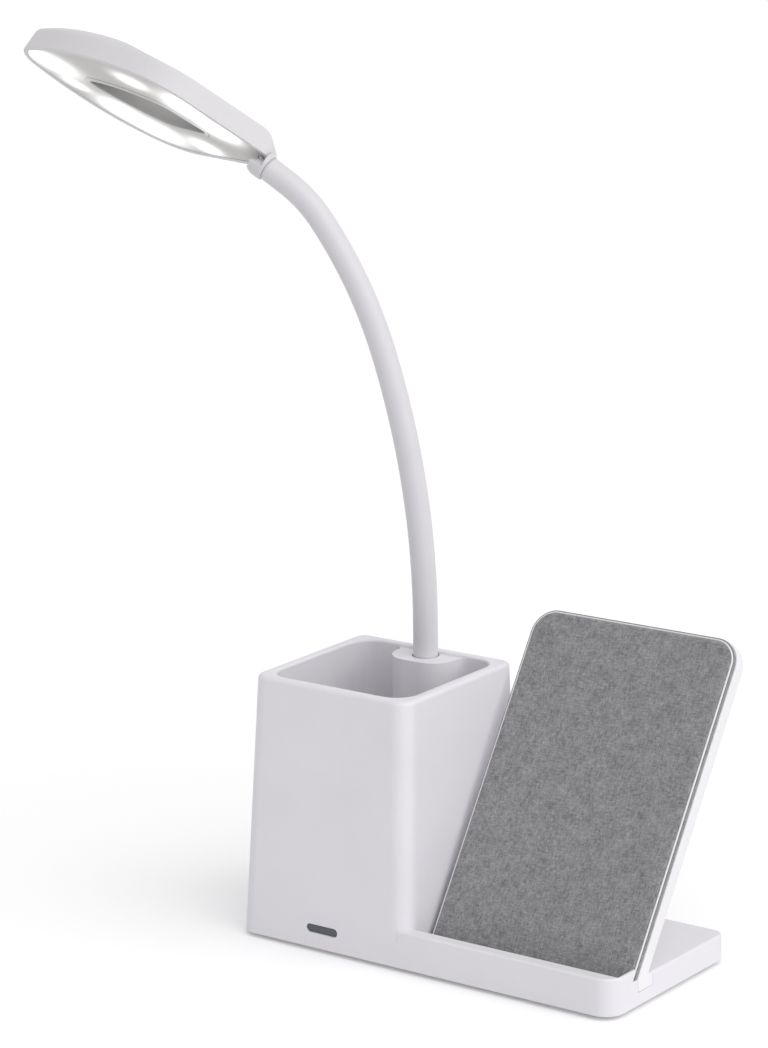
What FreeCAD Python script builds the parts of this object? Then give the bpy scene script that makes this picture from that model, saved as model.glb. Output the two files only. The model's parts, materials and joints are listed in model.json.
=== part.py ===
import FreeCAD, Part
import math
import os
from FreeCAD import Vector, Rotation, Placement

# Desk lamp on an organizer base: a flexible neck rises from the back of a pen cup, and a wireless
# charging stand for a phone leans beside the cup. Millimetres, +Z up, +X to the right, +Y to the back.
# The origin is on the table under the middle of the base.

# ---------------------------------------------------------------- driving dimensions
# Base plate and shell
base_width = 152.0
base_depth = 70.0
base_height = 9.0            # plate top above the shell's bottom edge
foot_height = 1.5            # rubber under the shell's bottom edge
front_corner_radius = 7.0
rear_corner_radius = 4.0
shell_wall = 2.0
edge_round = 0.8

# Lip in front of the phone ledge
lip_height = 12.5
lip_depth = 4.5
lip_side = 1.2               # the lip's return along the right-hand side

# Pen cup
cup_width = 70.5
cup_height = 90.0
cup_wall = 4.0
cup_floor_top = 13.0
cup_side_draft = 3.0         # each side leans in by this over the cup's height
cup_front_draft = 6.0
cup_back_draft = 1.0
cup_corner_radius = 6.0
pocket_corner_radius = 8.0
rim_round = 1.6
rim_inner_round = 0.8

# Column in the cup's back wall that carries the neck
column_radius = 8.8          # round ends of the column
column_half_flat = 3.5
column_setback = 9.0         # neck axis in front of the base's rear edge
column_offset = 1.0          # neck axis to the right of the cup's middle
column_drop = 1.0            # column top below the rim
column_bore_radius = 6.5
column_shelf_depth = 16.0    # shelf top below the column top
column_shelf_thickness = 4.0
neck_hole_clearance = 0.45
column_blend = 3.0           # column to the back wall

# Bottom cover, feet and screws
cover_thickness = 2.2
cover_clearance = 0.2
foot_radius = 6.0
foot_recess = 0.6
foot_inset = 13.0
cover_screw_inset = 6.5
screw_radius = 1.3
screw_clearance = 0.03
screw_head_radius = 2.3
screw_head_height = 1.3
screw_boss_radius = 3.2
cover_screw_length = 5.0
board_screw_length = 4.4

# Ballast
ballast_width = 58.0
ballast_depth = 31.0
ballast_thickness = 3.0
ballast_rib_gap = 0.2
ballast_rib_width = 3.0

# Touch control on the front
window_width = 12.8
window_height = 2.8
window_centre_height = 6.6
window_flange = 1.0
window_clearance = 0.1
touch_board_width = 20.0
touch_board_height = 6.4
board_thickness = 1.2

# Main board and power inlet
main_board_width = 50.0
main_board_depth = 36.0
main_board_lift = 1.5        # board underside above the cover
main_board_margin = 2.0      # board to the side wall of the hollow
inlet_width = 8.94
inlet_height = 3.2
inlet_length = 7.4
inlet_offset = 16.0          # inlet to the left of the neck axis
inlet_clearance = 0.15
inlet_setback = 0.4          # mouth of the inlet inside the rear face
capacitor_radius = 2.5
capacitor_gap = 1.2          # to the inlet
lamp_socket_place = 13.5     # from the main board's front edge
charger_socket_place = 10.5

# Leaning charging stand
stand_gap = 0.7              # cup to stand
stand_length = 113.0         # along the slope above the base plate
stand_lean = 33.3            # degrees back from vertical
stand_rear_y = -11.9         # rear face where it meets the plate top
stand_shell_depth = 6.5
stand_corner_radius = 9.0
stand_wall = 1.8
stand_fit = 0.15
back_screw_pad = 1.2         # extra thickness of the rear wall under a screw head
frame_thickness = 1.3
frame_inset = 0.35
pad_thickness = 1.2
pad_inset = 1.3
pad_gap = 0.3                # between the two pads, and from a pad to the shell around it
ledge_pad_thickness = 1.0
tab_front_y = -19.4
tab_rear_y = -10.7
tab_bottom = 4.6             # above the shell's bottom edge
side_skin = 1.0              # side wall left beside the stand's foot, in front of the tab

# Charger inside the stand
coil_outer_radius = 22.0
coil_inner_radius = 10.0
coil_thickness = 1.0
coil_height = 64.0           # coil centre along the slope
ferrite_side = 50.0
ferrite_thickness = 0.6
charger_board_width = 44.0
charger_board_height = 26.0
charger_board_standoff = 1.0
charger_socket_low = 4.0     # wire socket above the board's lower edge
stand_screw_spread = 12.0
back_screw_inset = 7.0       # from the stand's side
charger_board_gap = 0.5      # to the boss of a back screw
charger_board_low = 11.0     # board's lower edge along the slope

# Flexible neck
neck_diameter = 8.6
neck_bore = 7.5
link_diameter = 6.5
neck_joints = 13
first_joint_rise = 8.0       # first ball above the column top
ball_radius = 2.72
socket_clearance = 0.06
ball_neck_radius = 1.7
socket_lip = 1.2
link_shoulder = 2.7
link_bore_radius = 1.3
neck_azimuth = 191.7         # heading of the bend seen from above, degrees
neck_straight = 13.0
neck_lower_arc = 93.7        # three arcs follow the straight run
neck_middle_arc = 49.8
neck_upper_arc = 17.5
neck_lower_turn = 17.8       # degrees turned by each arc
neck_middle_turn = 18.4
neck_upper_turn = 20.4
neck_end_run = 8.8           # last ball to the head
ferrule_reach = 1.2          # end of the head's ferrule past the head's root
ferrule_thread_radius = 2.95
ferrule_flange_radius = 4.2
ferrule_flange_height = 1.5
nut_flats = 10.0
nut_height = 5.0
washer_thickness = 1.0

# Lamp head: a leaf in outline, widest just before its middle
head_length = 100.8
head_width = 43.0
head_widest = 48.0           # from the root
head_root_radius = 6.3
head_nose_radius = 6.5
head_shoulder_radius = 43.0
head_flank_radius = 89.0     # side between shoulder and nose
head_thickness = 8.1         # root half
head_crown = 10.9            # thickest place of the nose half
head_crown_place = 72.0
head_rise_start = 42.0       # roof rises from here to the crown
head_nose_height = 8.2
head_root_round = 7.0        # roof rounded down to the root
head_edge_round = 5.0
head_rim_round = 0.8
head_wall = 1.6
head_roof = 1.8
head_elevation = 19.7        # degrees above level, root to nose
head_roll = 42.5             # front edge raised, about the head's length, degrees
slot_start = 26.5
slot_end = 73.5
slot_width = 11.7
slot_widest = 45.0
slot_tip_radius = 1.0
slot_shoulder_radius = 20.0
slot_flank_radius = 80.0
diffuser_thickness = 1.5
diffuser_gap = 0.2
diffuser_recess = 0.1
led_board_height = 4.6       # board underside above the lit face
led_board_gap = 0.4
led_board_root = 5.5         # board's square end, from the head's root
led_size = 3.0
led_height = 0.7
leds_per_side = 6
collar_radius = 5.0
collar_length = 0.3          # collar behind the head's root
collar_reach = 3.0           # centre of the collar's round end past the root
collar_round = 0.7
collar_keel = 0.8            # collar's raised-side flank meets the lit face this far from the middle
collar_tip = 2.0             # its slanting flank crosses the middle this far from the root
collar_turn = 45.0           # degrees, slanting flank to the head's length
collar_keel_slope = 52.0     # degrees, slope of both flanks
collar_axis_height = -2.2    # neck axis above the lit face at the head's root

# Leads
lead_radius = 0.7
lead_clearance = 0.3
lead_bend = 4.0
lead_entry = 8.0             # lead reaches the LED board this far past the head's root
lead_landing = 3.4           # length lying on the LED board

# ---------------------------------------------------------------- derived places
floor_z = foot_height                      # shell's bottom edge
plate_top_z = floor_z + base_height
cover_top_z = floor_z + cover_thickness
half_width = base_width / 2.0
half_depth = base_depth / 2.0
stand_width = base_width - cup_width - stand_gap
cup_left_x = -half_width
cup_right_x = cup_left_x + cup_width
cup_middle_x = (cup_left_x + cup_right_x) / 2.0
rim_z = floor_z + cup_height
column_x = cup_middle_x + column_offset
column_y = half_depth - column_setback
column_top_z = rim_z - column_drop
shelf_top_z = column_top_z - column_shelf_depth
stand_left_x = half_width - stand_width
stand_middle_x = half_width - stand_width / 2.0
pad_face = -(stand_shell_depth + frame_thickness + pad_thickness)
neck_bends = (
    (neck_lower_arc, neck_lower_turn),
    (neck_middle_arc, neck_middle_turn),
    (neck_upper_arc, neck_upper_turn))


def box(x0, x1, y0, y1, z0, z1):
    return Part.makeBox(x1 - x0, y1 - y0, z1 - z0, Vector(x0, y0, z0))


def cylinder(radius, x, y, z0, z1):
    return Part.makeCylinder(radius, z1 - z0, Vector(x, y, z0))


def fuse_all(shapes):
    whole = shapes[0].multiFuse(shapes[1:]) if len(shapes) > 1 else shapes[0]
    return whole.removeSplitter()


def cut_all(shape, tools):
    return shape.cut(tools) if tools else shape


def rounded_rectangle(x0, x1, y0, y1, z, front_radius, rear_radius):
    """Closed wire at height z; the two front corners and the two rear corners have their own radius."""
    corners = (
        (x0, y0, 1, 1, front_radius),
        (x1, y0, -1, 1, front_radius),
        (x1, y1, -1, -1, rear_radius),
        (x0, y1, 1, -1, rear_radius),
    )
    arcs = []
    for x, y, sx, sy, r in corners:
        centre = Vector(x + sx * r, y + sy * r, z)
        on_x = Vector(x, centre.y, z)
        on_y = Vector(centre.x, y, z)
        middle = centre + Vector(-sx, -sy, 0) * (r / math.sqrt(2))
        ends = (on_x, on_y) if sx * sy > 0 else (on_y, on_x)
        arcs.append(Part.Arc(ends[0], middle, ends[1]))
    edges = []
    for i, arc in enumerate(arcs):
        following = arcs[(i + 1) % 4]
        edges.append(arc.toShape())
        edges.append(Part.makeLine(arc.EndPoint, following.StartPoint))
    return Part.Wire(edges)


def tapered_block(low_wire, high_wire):
    return Part.makeLoft([low_wire, high_wire], True, True)


def front_y(z):
    """The front face of cup and base is one plane that leans back."""
    return -half_depth + cup_front_draft * (z - floor_z) / cup_height


def round_edges(shape, radius, wanted):
    """Round the edges that the test accepts; an edge that can't take the radius is left sharp."""
    edges = [e for e in shape.Edges if wanted(e)]
    try:
        rounded = shape.makeFillet(radius, edges)
        if rounded.isValid() and rounded.Volume > 0:
            return rounded
    except Exception:
        pass
    return shape


def level_edge(edge, z, tolerance=0.05):
    box_of = edge.BoundBox
    return abs(box_of.ZMin - z) < tolerance and abs(box_of.ZMax - z) < tolerance


# ---------------------------------------------------------------- base housing with the pen cup
def footprint(z, inset):
    return rounded_rectangle(
        -half_width + inset, half_width - inset, front_y(z) + inset, half_depth - inset, z,
        max(front_corner_radius - inset, 0.5), max(rear_corner_radius - inset, 0.5))


def cup_section(z, inset, front_radius, rear_radius):
    share = (z - floor_z) / cup_height
    return rounded_rectangle(
        cup_left_x + cup_side_draft * share + inset,
        cup_right_x - cup_side_draft * share - inset,
        front_y(z) + inset,
        half_depth - cup_back_draft * share - inset,
        z, front_radius, rear_radius)


def in_stand_frame(shape):
    """Place a shape drawn upright at the stand: its Y=0 plane is the rear face, Z runs up the slope."""
    placed = shape.copy()
    placed.Placement = Placement(
        Vector(0, stand_rear_y, plate_top_z), Rotation(Vector(1, 0, 0), -stand_lean))
    return placed


def ledge_level():
    """Height along the slope of the ledge that the phone's lower edge stands on."""
    lean = math.radians(stand_lean)
    inner_y = front_y(floor_z + lip_height) + lip_depth - stand_rear_y
    inner_z = lip_height - base_height
    return inner_y * math.sin(lean) + inner_z * math.cos(lean)


def screw_places():
    """Screws that hold the cover: four corners and one behind the stand."""
    x = half_width - cover_screw_inset
    y = half_depth - cover_screw_inset
    return ((-x, -y), (x, -y), (x, y), (-x, y), (stand_left_x + cover_screw_inset, y))


def ledge_space():
    """Room for the phone ledge, the pad and the foot of the stand, square to the stand's slope."""
    lip_top_z = floor_z + lip_height
    far_left = cup_right_x - cup_wall
    front_of_frame = -(stand_shell_depth + frame_thickness)
    trough = box(far_left, half_width - lip_side, pad_face - 40, front_of_frame,
                 ledge_level() - ledge_pad_thickness, 60)
    foot = box(far_left, half_width + 5, pad_face - stand_fit, stand_fit, ledge_level(), 60)
    lip_keep = box(far_left, half_width + 5, -half_depth - 5, front_y(lip_top_z) + lip_depth,
                   floor_z, lip_top_z + 1)
    side_keep = box(half_width - side_skin, half_width + 5, -half_depth - 5, tab_front_y - stand_fit,
                    floor_z, plate_top_z)
    tab_sill = box(half_width - side_skin, half_width + 5, -half_depth - 5, half_depth,
                   floor_z, floor_z + tab_bottom - stand_fit)
    return in_stand_frame(fuse_all([trough, foot])).cut([lip_keep, side_keep, tab_sill])


def ledge_skin():
    """Solid kept under the ledge where the shell is hollow."""
    return in_stand_frame(box(
        cup_right_x - cup_wall, half_width, pad_face - 40, -stand_shell_depth - stand_fit,
        ledge_level() - ledge_pad_thickness - shell_wall, 60))


def outer_cup():
    cup = tapered_block(
        cup_section(floor_z, 0, cup_corner_radius, rear_corner_radius),
        cup_section(rim_z, 0, cup_corner_radius, rear_corner_radius))
    return round_edges(cup, rim_round, lambda e: level_edge(e, rim_z))


def outer_body():
    lip_top_z = floor_z + lip_height
    plate = tapered_block(footprint(floor_z, 0), footprint(plate_top_z, 0))
    plate = round_edges(plate, edge_round, lambda e: level_edge(e, plate_top_z))
    lip_block = tapered_block(footprint(floor_z, 0), footprint(lip_top_z, 0))
    lip_block = round_edges(lip_block, edge_round, lambda e: level_edge(e, lip_top_z))
    lip_room = box(cup_right_x - cup_wall, half_width, -half_depth - 1, stand_rear_y, floor_z, lip_top_z)
    space = in_stand_frame(box(-200, 200, pad_face - 60, stand_fit, -60, 60))
    lip = lip_block.common(lip_room).common(space)
    cup = outer_cup()
    return fuse_all([fuse_all([plate, lip]).cut(ledge_space()), cup])


def pen_pocket():
    """Room for pens; the column that carries the neck stays standing at its back."""
    floor = floor_z + cup_floor_top
    pocket = tapered_block(
        cup_section(floor, cup_wall, pocket_corner_radius, pocket_corner_radius),
        cup_section(rim_z + 1, cup_wall, pocket_corner_radius, pocket_corner_radius))
    left = column_x - column_half_flat
    right = column_x + column_half_flat
    column = fuse_all([
        cylinder(column_radius, left, column_y, floor - 1, column_top_z),
        cylinder(column_radius, right, column_y, floor - 1, column_top_z),
        box(left, right, column_y - column_radius, column_y + column_radius, floor - 1, column_top_z)])
    return round_edges(pocket.cut(column), column_blend, beside_column)


def beside_column(edge):
    """True for the upright edges where the column meets the pocket's back wall."""
    place = edge.BoundBox.Center
    return (edge.BoundBox.ZLength > cup_height / 2 and place.y > column_y
            and abs(place.x - column_x) < column_half_flat + column_radius)


def post_top_z():
    return floor_z + cup_floor_top - 1


def shell_hollow():
    """Hollow under the plate and the cup's floor, less the ledge, the screw posts and the ballast ribs."""
    under_plate = tapered_block(
        footprint(floor_z, shell_wall), footprint(plate_top_z - shell_wall, shell_wall))
    inner_front = cup_corner_radius - shell_wall
    inner_rear = rear_corner_radius - shell_wall
    under_cup = tapered_block(
        cup_section(floor_z, shell_wall, inner_front, inner_rear),
        cup_section(floor_z + cup_floor_top - shell_wall, shell_wall, inner_front, inner_rear))
    hollow = under_plate.cut(ledge_skin()).fuse(under_cup)
    posts = [cylinder(screw_boss_radius, x, y, cover_top_z, post_top_z()) for x, y in screw_places()]
    posts += [cylinder(screw_boss_radius, x, y, main_board_top_z(), post_top_z())
              for x, y in main_board_screws()]
    return hollow.cut(posts + ballast_ribs())


def base_housing():
    body = outer_body().cut([pen_pocket(), shell_hollow()])
    body = round_edges(body, rim_inner_round, lambda e: level_edge(e, rim_z) and inside_rim(e))

    pilot_radius = screw_radius + screw_clearance
    pilots = [cylinder(pilot_radius, x, y, floor_z, cover_screw_tip_z() + 0.4) for x, y in screw_places()]
    pilots += [cylinder(pilot_radius, x, y, floor_z, main_board_top_z() + board_screw_length)
               for x, y in main_board_screws()]

    # Bore of the column from below, its shelf, and the hole the neck stands in.
    shelf_bottom_z = shelf_top_z - column_shelf_thickness
    bore = cylinder(column_bore_radius, column_x, column_y, post_top_z() - shell_wall, shelf_bottom_z)
    stem_hole = cylinder(ferrule_thread_radius + 0.1, column_x, column_y,
                         shelf_bottom_z - 1, shelf_top_z + 1)
    neck_hole = cylinder(neck_diameter / 2 + neck_hole_clearance, column_x, column_y,
                         shelf_top_z, column_top_z + 1)

    # Seat of the stand: an opening through the plate, and the notch in the right-hand side wall.
    seat = in_stand_frame(box(stand_left_x - stand_fit, half_width - shell_wall,
                              -stand_shell_depth - stand_fit, stand_fit, -30, 10))
    seat = seat.common(box(-half_width, half_width, -half_depth, half_depth, floor_z, plate_top_z + 5))
    notch = box(half_width - shell_wall - 0.5, half_width + 1, tab_front_y - stand_fit,
                tab_rear_y + stand_fit, floor_z + tab_bottom - stand_fit, plate_top_z + 3)

    window = touch_window_solid(window_clearance)
    return body.cut(pilots + [bore, stem_hole, neck_hole, seat, notch, window, inlet_opening()])


def inside_rim(edge):
    """True for the edge between the rim and the pen pocket."""
    inner = cup_wall - 0.6
    place = edge.BoundBox.Center
    return (cup_left_x + cup_side_draft + inner < edge.BoundBox.XMin
            and edge.BoundBox.XMax < cup_right_x - cup_side_draft - inner
            and place.y < half_depth - cup_back_draft - inner
            and front_y(rim_z) + inner < place.y)


# ---------------------------------------------------------------- boards, window and inlet
def main_board_bottom_z():
    return cover_top_z + main_board_lift


def main_board_top_z():
    return main_board_bottom_z() + board_thickness


def main_board_rear_y():
    return half_depth - shell_wall - 0.5


def main_board_left_x():
    return cup_left_x + shell_wall + main_board_margin


def main_board_screws():
    x0 = main_board_left_x() + 4
    y0 = main_board_rear_y() - main_board_depth + 4
    return ((x0, y0), (x0 + main_board_width - 8, y0))


def main_board():
    x0 = main_board_left_x()
    y1 = main_board_rear_y()
    plate = box(x0, x0 + main_board_width, y1 - main_board_depth, y1,
                main_board_bottom_z(), main_board_top_z())
    holes = [cylinder(screw_radius + 0.1, x, y, 0, 20) for x, y in main_board_screws()]
    corner_post = [cylinder(screw_boss_radius + 0.5, x, y, 0, 20) for x, y in screw_places()]
    return plate.cut(holes + corner_post)


def inlet_x():
    return column_x - inlet_offset


def inlet_shape(grow, y0, y1):
    """The flat oval of a USB-C shell, along Y."""
    r = inlet_height / 2 + grow
    half = inlet_width / 2 - inlet_height / 2
    z = main_board_top_z() + inlet_height / 2
    middle = box(inlet_x() - half, inlet_x() + half, y0, y1, z - r, z + r)
    ends = [Part.makeCylinder(r, y1 - y0, Vector(inlet_x() + s * half, y0, z), Vector(0, 1, 0))
            for s in (-1, 1)]
    return fuse_all([middle] + ends)


def inlet_opening():
    return inlet_shape(inlet_clearance, half_depth - shell_wall - 1, half_depth + 1)


def power_inlet():
    y1 = half_depth - inlet_setback
    shell = inlet_shape(0, y1 - inlet_length, y1)
    mouth = inlet_shape(-0.3, y1 - inlet_length + 1, y1 + 1)
    tongue = box(inlet_x() - 3.1, inlet_x() + 3.1, y1 - inlet_length + 0.5, y1 - 0.8,
                 main_board_top_z() + inlet_height / 2 - 0.35, main_board_top_z() + inlet_height / 2 + 0.35)
    return fuse_all([shell.cut(mouth), tongue])


def touch_window_solid(grow):
    """Pill-shaped window through the leaning front wall, with a flange inside."""
    r = window_height / 2 + grow
    half = (window_width - window_height) / 2
    z = floor_z + window_centre_height
    y0 = front_y(z) - 2
    y1 = front_y(z) + shell_wall + 0.2

    def pill(radius, ya, yb):
        middle = box(cup_middle_x - half, cup_middle_x + half, ya, yb, z - radius, z + radius)
        ends = [Part.makeCylinder(radius, yb - ya, Vector(cup_middle_x + s * half, ya, z), Vector(0, 1, 0))
                for s in (-1, 1)]
        return fuse_all([middle] + ends)

    return pill(r, y0, y1)


def touch_window():
    z = floor_z + window_centre_height
    recess = 0.5
    lens = touch_window_solid(0)
    outside = box(-half_width, half_width, -half_depth - 5, front_y(z) + recess, 0, 40)
    inside_y = front_y(z) + shell_wall + 0.2
    reach = window_width / 2 + window_flange
    flange = box(cup_middle_x - reach, cup_middle_x + reach,
                 inside_y, inside_y + 0.8, z - window_height / 2 - window_flange,
                 z + window_height / 2 + window_flange)
    return fuse_all([lens.cut(outside), flange])


def touch_board_front_y():
    return front_y(floor_z + window_centre_height) + shell_wall + 1.0


def touch_board():
    z = floor_z + window_centre_height
    y = touch_board_front_y()
    return box(cup_middle_x - touch_board_width / 2, cup_middle_x + touch_board_width / 2,
               y, y + board_thickness, z - touch_board_height / 2, z + touch_board_height / 2)


def indicator_led():
    z = floor_z + window_centre_height
    x = cup_middle_x + window_width / 2 + window_flange + 0.3
    y = touch_board_front_y()
    return box(x, x + 1.0, y - 0.6, y, z - 0.8, z + 0.8)


def power_components():
    """Coil, switching chip and capacitors on top of the main board."""
    x0 = main_board_left_x()
    y0 = main_board_rear_y() - main_board_depth
    z = main_board_top_z()
    inductor = box(x0 + 12, x0 + 19, y0 + 12, y0 + 19, z, z + 3.0)
    chip = box(x0 + 24, x0 + 29, y0 + 13, y0 + 18, z, z + 1.0)
    dimmer_chip = box(x0 + 38, x0 + 43, y0 + 20, y0 + 24, z, z + 1.0)
    capacitor_y = half_depth - inlet_setback - inlet_length - capacitor_gap - capacitor_radius
    capacitors = [cylinder(capacitor_radius, x0 + 14 + 7 * i, capacitor_y, z, z + 5.4) for i in range(2)]
    return Part.makeCompound([inductor, chip, dimmer_chip] + capacitors)


def board_sockets():
    """Wire sockets on the main board: one for the lamp, one for the charger, one for the touch board."""
    z = main_board_top_z()
    lamp = box(column_x - 2.5, column_x + 2.5, lamp_socket_y() - 4.5, lamp_socket_y(), z, z + 3.2)
    x1 = main_board_left_x() + main_board_width
    y0 = main_board_rear_y() - main_board_depth
    charger = box(x1 - 4.5, x1, charger_socket_y() - 2.5, charger_socket_y() + 2.5, z, z + 3.2)
    touch = box(cup_middle_x - 2.5, cup_middle_x + 2.5, y0 + 0.5, y0 + 5, z, z + 3.2)
    return Part.makeCompound([lamp, charger, touch])


def lamp_socket_y():
    return main_board_rear_y() - main_board_depth + lamp_socket_place


def charger_socket_y():
    return main_board_rear_y() - main_board_depth + charger_socket_place


# ---------------------------------------------------------------- cover, feet, screws, ballast
def foot_places():
    x = half_width - foot_inset
    y = half_depth - foot_inset
    return ((-x, -y), (x, -y), (x, y), (-x, y))


def stand_screw_places():
    """Upright screws through the cover into the stand's foot blocks."""
    lean = math.radians(stand_lean)
    middle_z = cover_top_z + 3.0 - plate_top_z
    y = stand_rear_y + middle_z * math.tan(lean) - stand_shell_depth / 2 / math.cos(lean)
    return tuple((stand_middle_x + s * stand_screw_spread, y) for s in (-1, 1))


def screw(x, y, head_z, length):
    """Pan-head screw standing upright; head_z is its lowest point."""
    head = cylinder(screw_head_radius, x, y, head_z, head_z + screw_head_height)
    shank = cylinder(screw_radius, x, y, head_z + screw_head_height, head_z + screw_head_height + length)
    socket = box(x - 0.35, x + 0.35, y - 1.3, y + 1.3, head_z - 1, head_z + 0.7)
    other = box(x - 1.3, x + 1.3, y - 0.35, y + 0.35, head_z - 1, head_z + 0.7)
    return fuse_all([head, shank]).cut([socket, other])


def cover_head_z():
    return floor_z + 0.1


def cover_screw_tip_z():
    return cover_head_z() + screw_head_height + cover_screw_length


def bottom_cover():
    low = footprint(floor_z, shell_wall + cover_clearance)
    high = footprint(cover_top_z, shell_wall + cover_clearance)
    plate = tapered_block(low, high)
    cuts = []
    for x, y in screw_places() + stand_screw_places():
        cuts.append(cylinder(screw_head_radius + 0.2, x, y, floor_z - 1, cover_head_z() + screw_head_height))
        cuts.append(cylinder(screw_radius + 0.15, x, y, floor_z - 1, cover_top_z + 1))
    for x, y in foot_places():
        cuts.append(cylinder(foot_radius + 0.1, x, y, floor_z - 1, floor_z + foot_recess))
    for i in range(5):
        x = ballast_left_x() - 12 - 4 * i
        cuts.append(box(x, x + 1.6, 2, 20, floor_z - 1, cover_top_z + 1))
    return plate.cut(cuts)


def rubber_feet():
    feet = [cylinder(foot_radius, x, y, 0, floor_z + foot_recess) for x, y in foot_places()]
    return Part.makeCompound(feet)


def cover_screws():
    return Part.makeCompound(
        [screw(x, y, cover_head_z(), cover_screw_length) for x, y in screw_places()])


def stand_screws():
    return Part.makeCompound(
        [screw(x, y, cover_head_z(), cover_screw_length) for x, y in stand_screw_places()])


def board_screws():
    z = main_board_bottom_z() - screw_head_height
    return Part.makeCompound([screw(x, y, z, board_screw_length) for x, y in main_board_screws()])


def ballast_left_x():
    return half_width - shell_wall - 4 - ballast_width


def ballast_front_y():
    return half_depth - shell_wall - 1.5 - ballast_depth


def ballast_plate():
    """Steel weight lying on the cover, with corners cut back for the screw posts."""
    x0 = ballast_left_x()
    y0 = ballast_front_y()
    plate = box(x0, x0 + ballast_width, y0, y0 + ballast_depth, cover_top_z, cover_top_z + ballast_thickness)
    posts = [cylinder(screw_boss_radius + 0.6, x, y, 0, 20) for x, y in screw_places()]
    return plate.cut(posts)


def ballast_ribs():
    """Ribs under the plate that hold the ballast down."""
    x0 = ballast_left_x()
    y0 = ballast_front_y()
    z0 = cover_top_z + ballast_thickness + ballast_rib_gap
    ribs = []
    for share in (0.25, 0.75):
        x = x0 + ballast_width * share
        ribs.append(box(x, x + ballast_rib_width, y0, y0 + ballast_depth, z0, plate_top_z))
    return ribs


# ---------------------------------------------------------------- charging stand
def stand_outline(y0, y1, inset, bottom):
    """Panel drawn upright with its two top corners round."""
    x0 = stand_left_x + inset
    x1 = half_width - inset
    z1 = stand_length - inset
    r = max(stand_corner_radius - inset, 1.0)
    slab = box(x0, x1, y0, y1, bottom, z1)
    for x, s in ((x0, 1), (x1, -1)):
        corner = box(min(x, x + s * r), max(x, x + s * r), y0 - 1, y1 + 1, z1 - r, z1 + 1)
        disc = Part.makeCylinder(r, y1 - y0 + 2, Vector(x + s * r, y0 - 1, z1 - r), Vector(0, 1, 0))
        slab = slab.cut(corner.cut(disc))
    return slab


def back_screw_places():
    """Screws through the stand's back into the front frame."""
    reach = stand_width / 2 - back_screw_inset
    return tuple((stand_middle_x + s * reach, z) for s in (-1, 1) for z in (16.0, stand_length - 14))


def back_screw_recess():
    """Depth of the seat of a screw head below the stand's rear face."""
    return 0.3 + screw_head_height


def charger_board_left_x():
    return stand_left_x + back_screw_inset + screw_boss_radius + charger_board_gap


def charger_board_screws():
    x0 = charger_board_left_x()
    z = charger_board_low + charger_board_height - 4
    return ((x0 + 4, z), (x0 + charger_board_width - 4, z))


def board_seat_y():
    return -(stand_wall + charger_board_standoff)


def stand_rear_shell():
    panel = stand_outline(-stand_shell_depth, 0, 0, -30)
    panel = round_edges(panel, 2.0, lambda e: e.BoundBox.YMin > -0.05 and e.BoundBox.ZMax > -29)
    hollow = stand_outline(-stand_shell_depth - 1, -stand_wall, stand_wall, -40)
    posts = [Part.makeCylinder(screw_boss_radius, charger_board_standoff + 1, Vector(x, -stand_wall + 1, z),
                               Vector(0, -1, 0)) for x, z in charger_board_screws()]
    shell = panel.cut(cut_all(hollow, [post.cut(box(-200, 200, 0, 50, -50, 200)) for post in posts]))
    pads = [Part.makeCylinder(screw_boss_radius, back_screw_pad + 0.5, Vector(x, -stand_wall + 0.5, z),
                              Vector(0, -1, 0)) for x, z in back_screw_places()]
    shell = fuse_all([shell] + pads)
    drills = []
    for x, z in back_screw_places():
        drills.append(Part.makeCylinder(screw_head_radius + 0.2, 1.0 + back_screw_recess(),
                                        Vector(x, 1.0, z), Vector(0, -1, 0)))
        drills.append(Part.makeCylinder(screw_radius + 0.15, 20, Vector(x, 1, z), Vector(0, -1, 0)))
    for x, z in charger_board_screws():
        drills.append(Part.makeCylinder(screw_radius + screw_clearance, charger_board_standoff + 1.2,
                                        Vector(x, board_seat_y(), z), Vector(0, 1, 0)))
    shell = in_stand_frame(shell.cut(drills))

    # The shell drops through the plate onto the cover; its right-hand side ends in a tab in the notch.
    below = box(-200, 200, -200, 200, -100, cover_top_z + 0.1)
    beside = box(half_width - shell_wall - stand_fit, 200, -200, 200, -100, plate_top_z)
    tab = box(half_width - shell_wall - stand_fit, half_width, tab_front_y, tab_rear_y,
              floor_z + tab_bottom, plate_top_z)
    lean_slab = in_stand_frame(stand_outline(-stand_shell_depth, 0, 0, -30))
    blocks = []
    for x, y in stand_screw_places():
        block = box(x - 4, x + 4, y - 8, y + 8, cover_top_z + 0.1, plate_top_z + 1).common(lean_slab)
        blocks.append(block)
    pilots = [cylinder(screw_radius + screw_clearance, x, y, 0, cover_screw_tip_z() + 0.4)
              for x, y in stand_screw_places()]
    wire_start = Vector(stand_left_x - 3, charger_lead_y(), charger_lead_z())
    wire_hole = Part.makeCylinder(lead_radius + 0.5, 6, wire_start, Vector(1, 0, 0))
    whole = fuse_all([shell.cut([below, beside]), tab] + blocks)
    return whole.cut(pilots + [wire_hole])


def frame_bottom():
    return ledge_level() + 0.2


def stand_front_frame():
    face = -stand_shell_depth
    plate = stand_outline(face - frame_thickness, face, frame_inset, frame_bottom())
    post_length = stand_shell_depth - stand_wall - back_screw_pad - 0.05
    posts = [Part.makeCylinder(screw_boss_radius, post_length, Vector(x, face, z), Vector(0, 1, 0))
             for x, z in back_screw_places()]
    pilots = [Part.makeCylinder(screw_radius + screw_clearance, stand_shell_depth, Vector(x, face - 0.7, z),
                                Vector(0, 1, 0)) for x, z in back_screw_places()]
    frame = in_stand_frame(fuse_all([plate] + posts).cut(pilots))
    return frame.cut(box(half_width - side_skin - stand_fit, 200, -200, 200, -100, plate_top_z))


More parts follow.
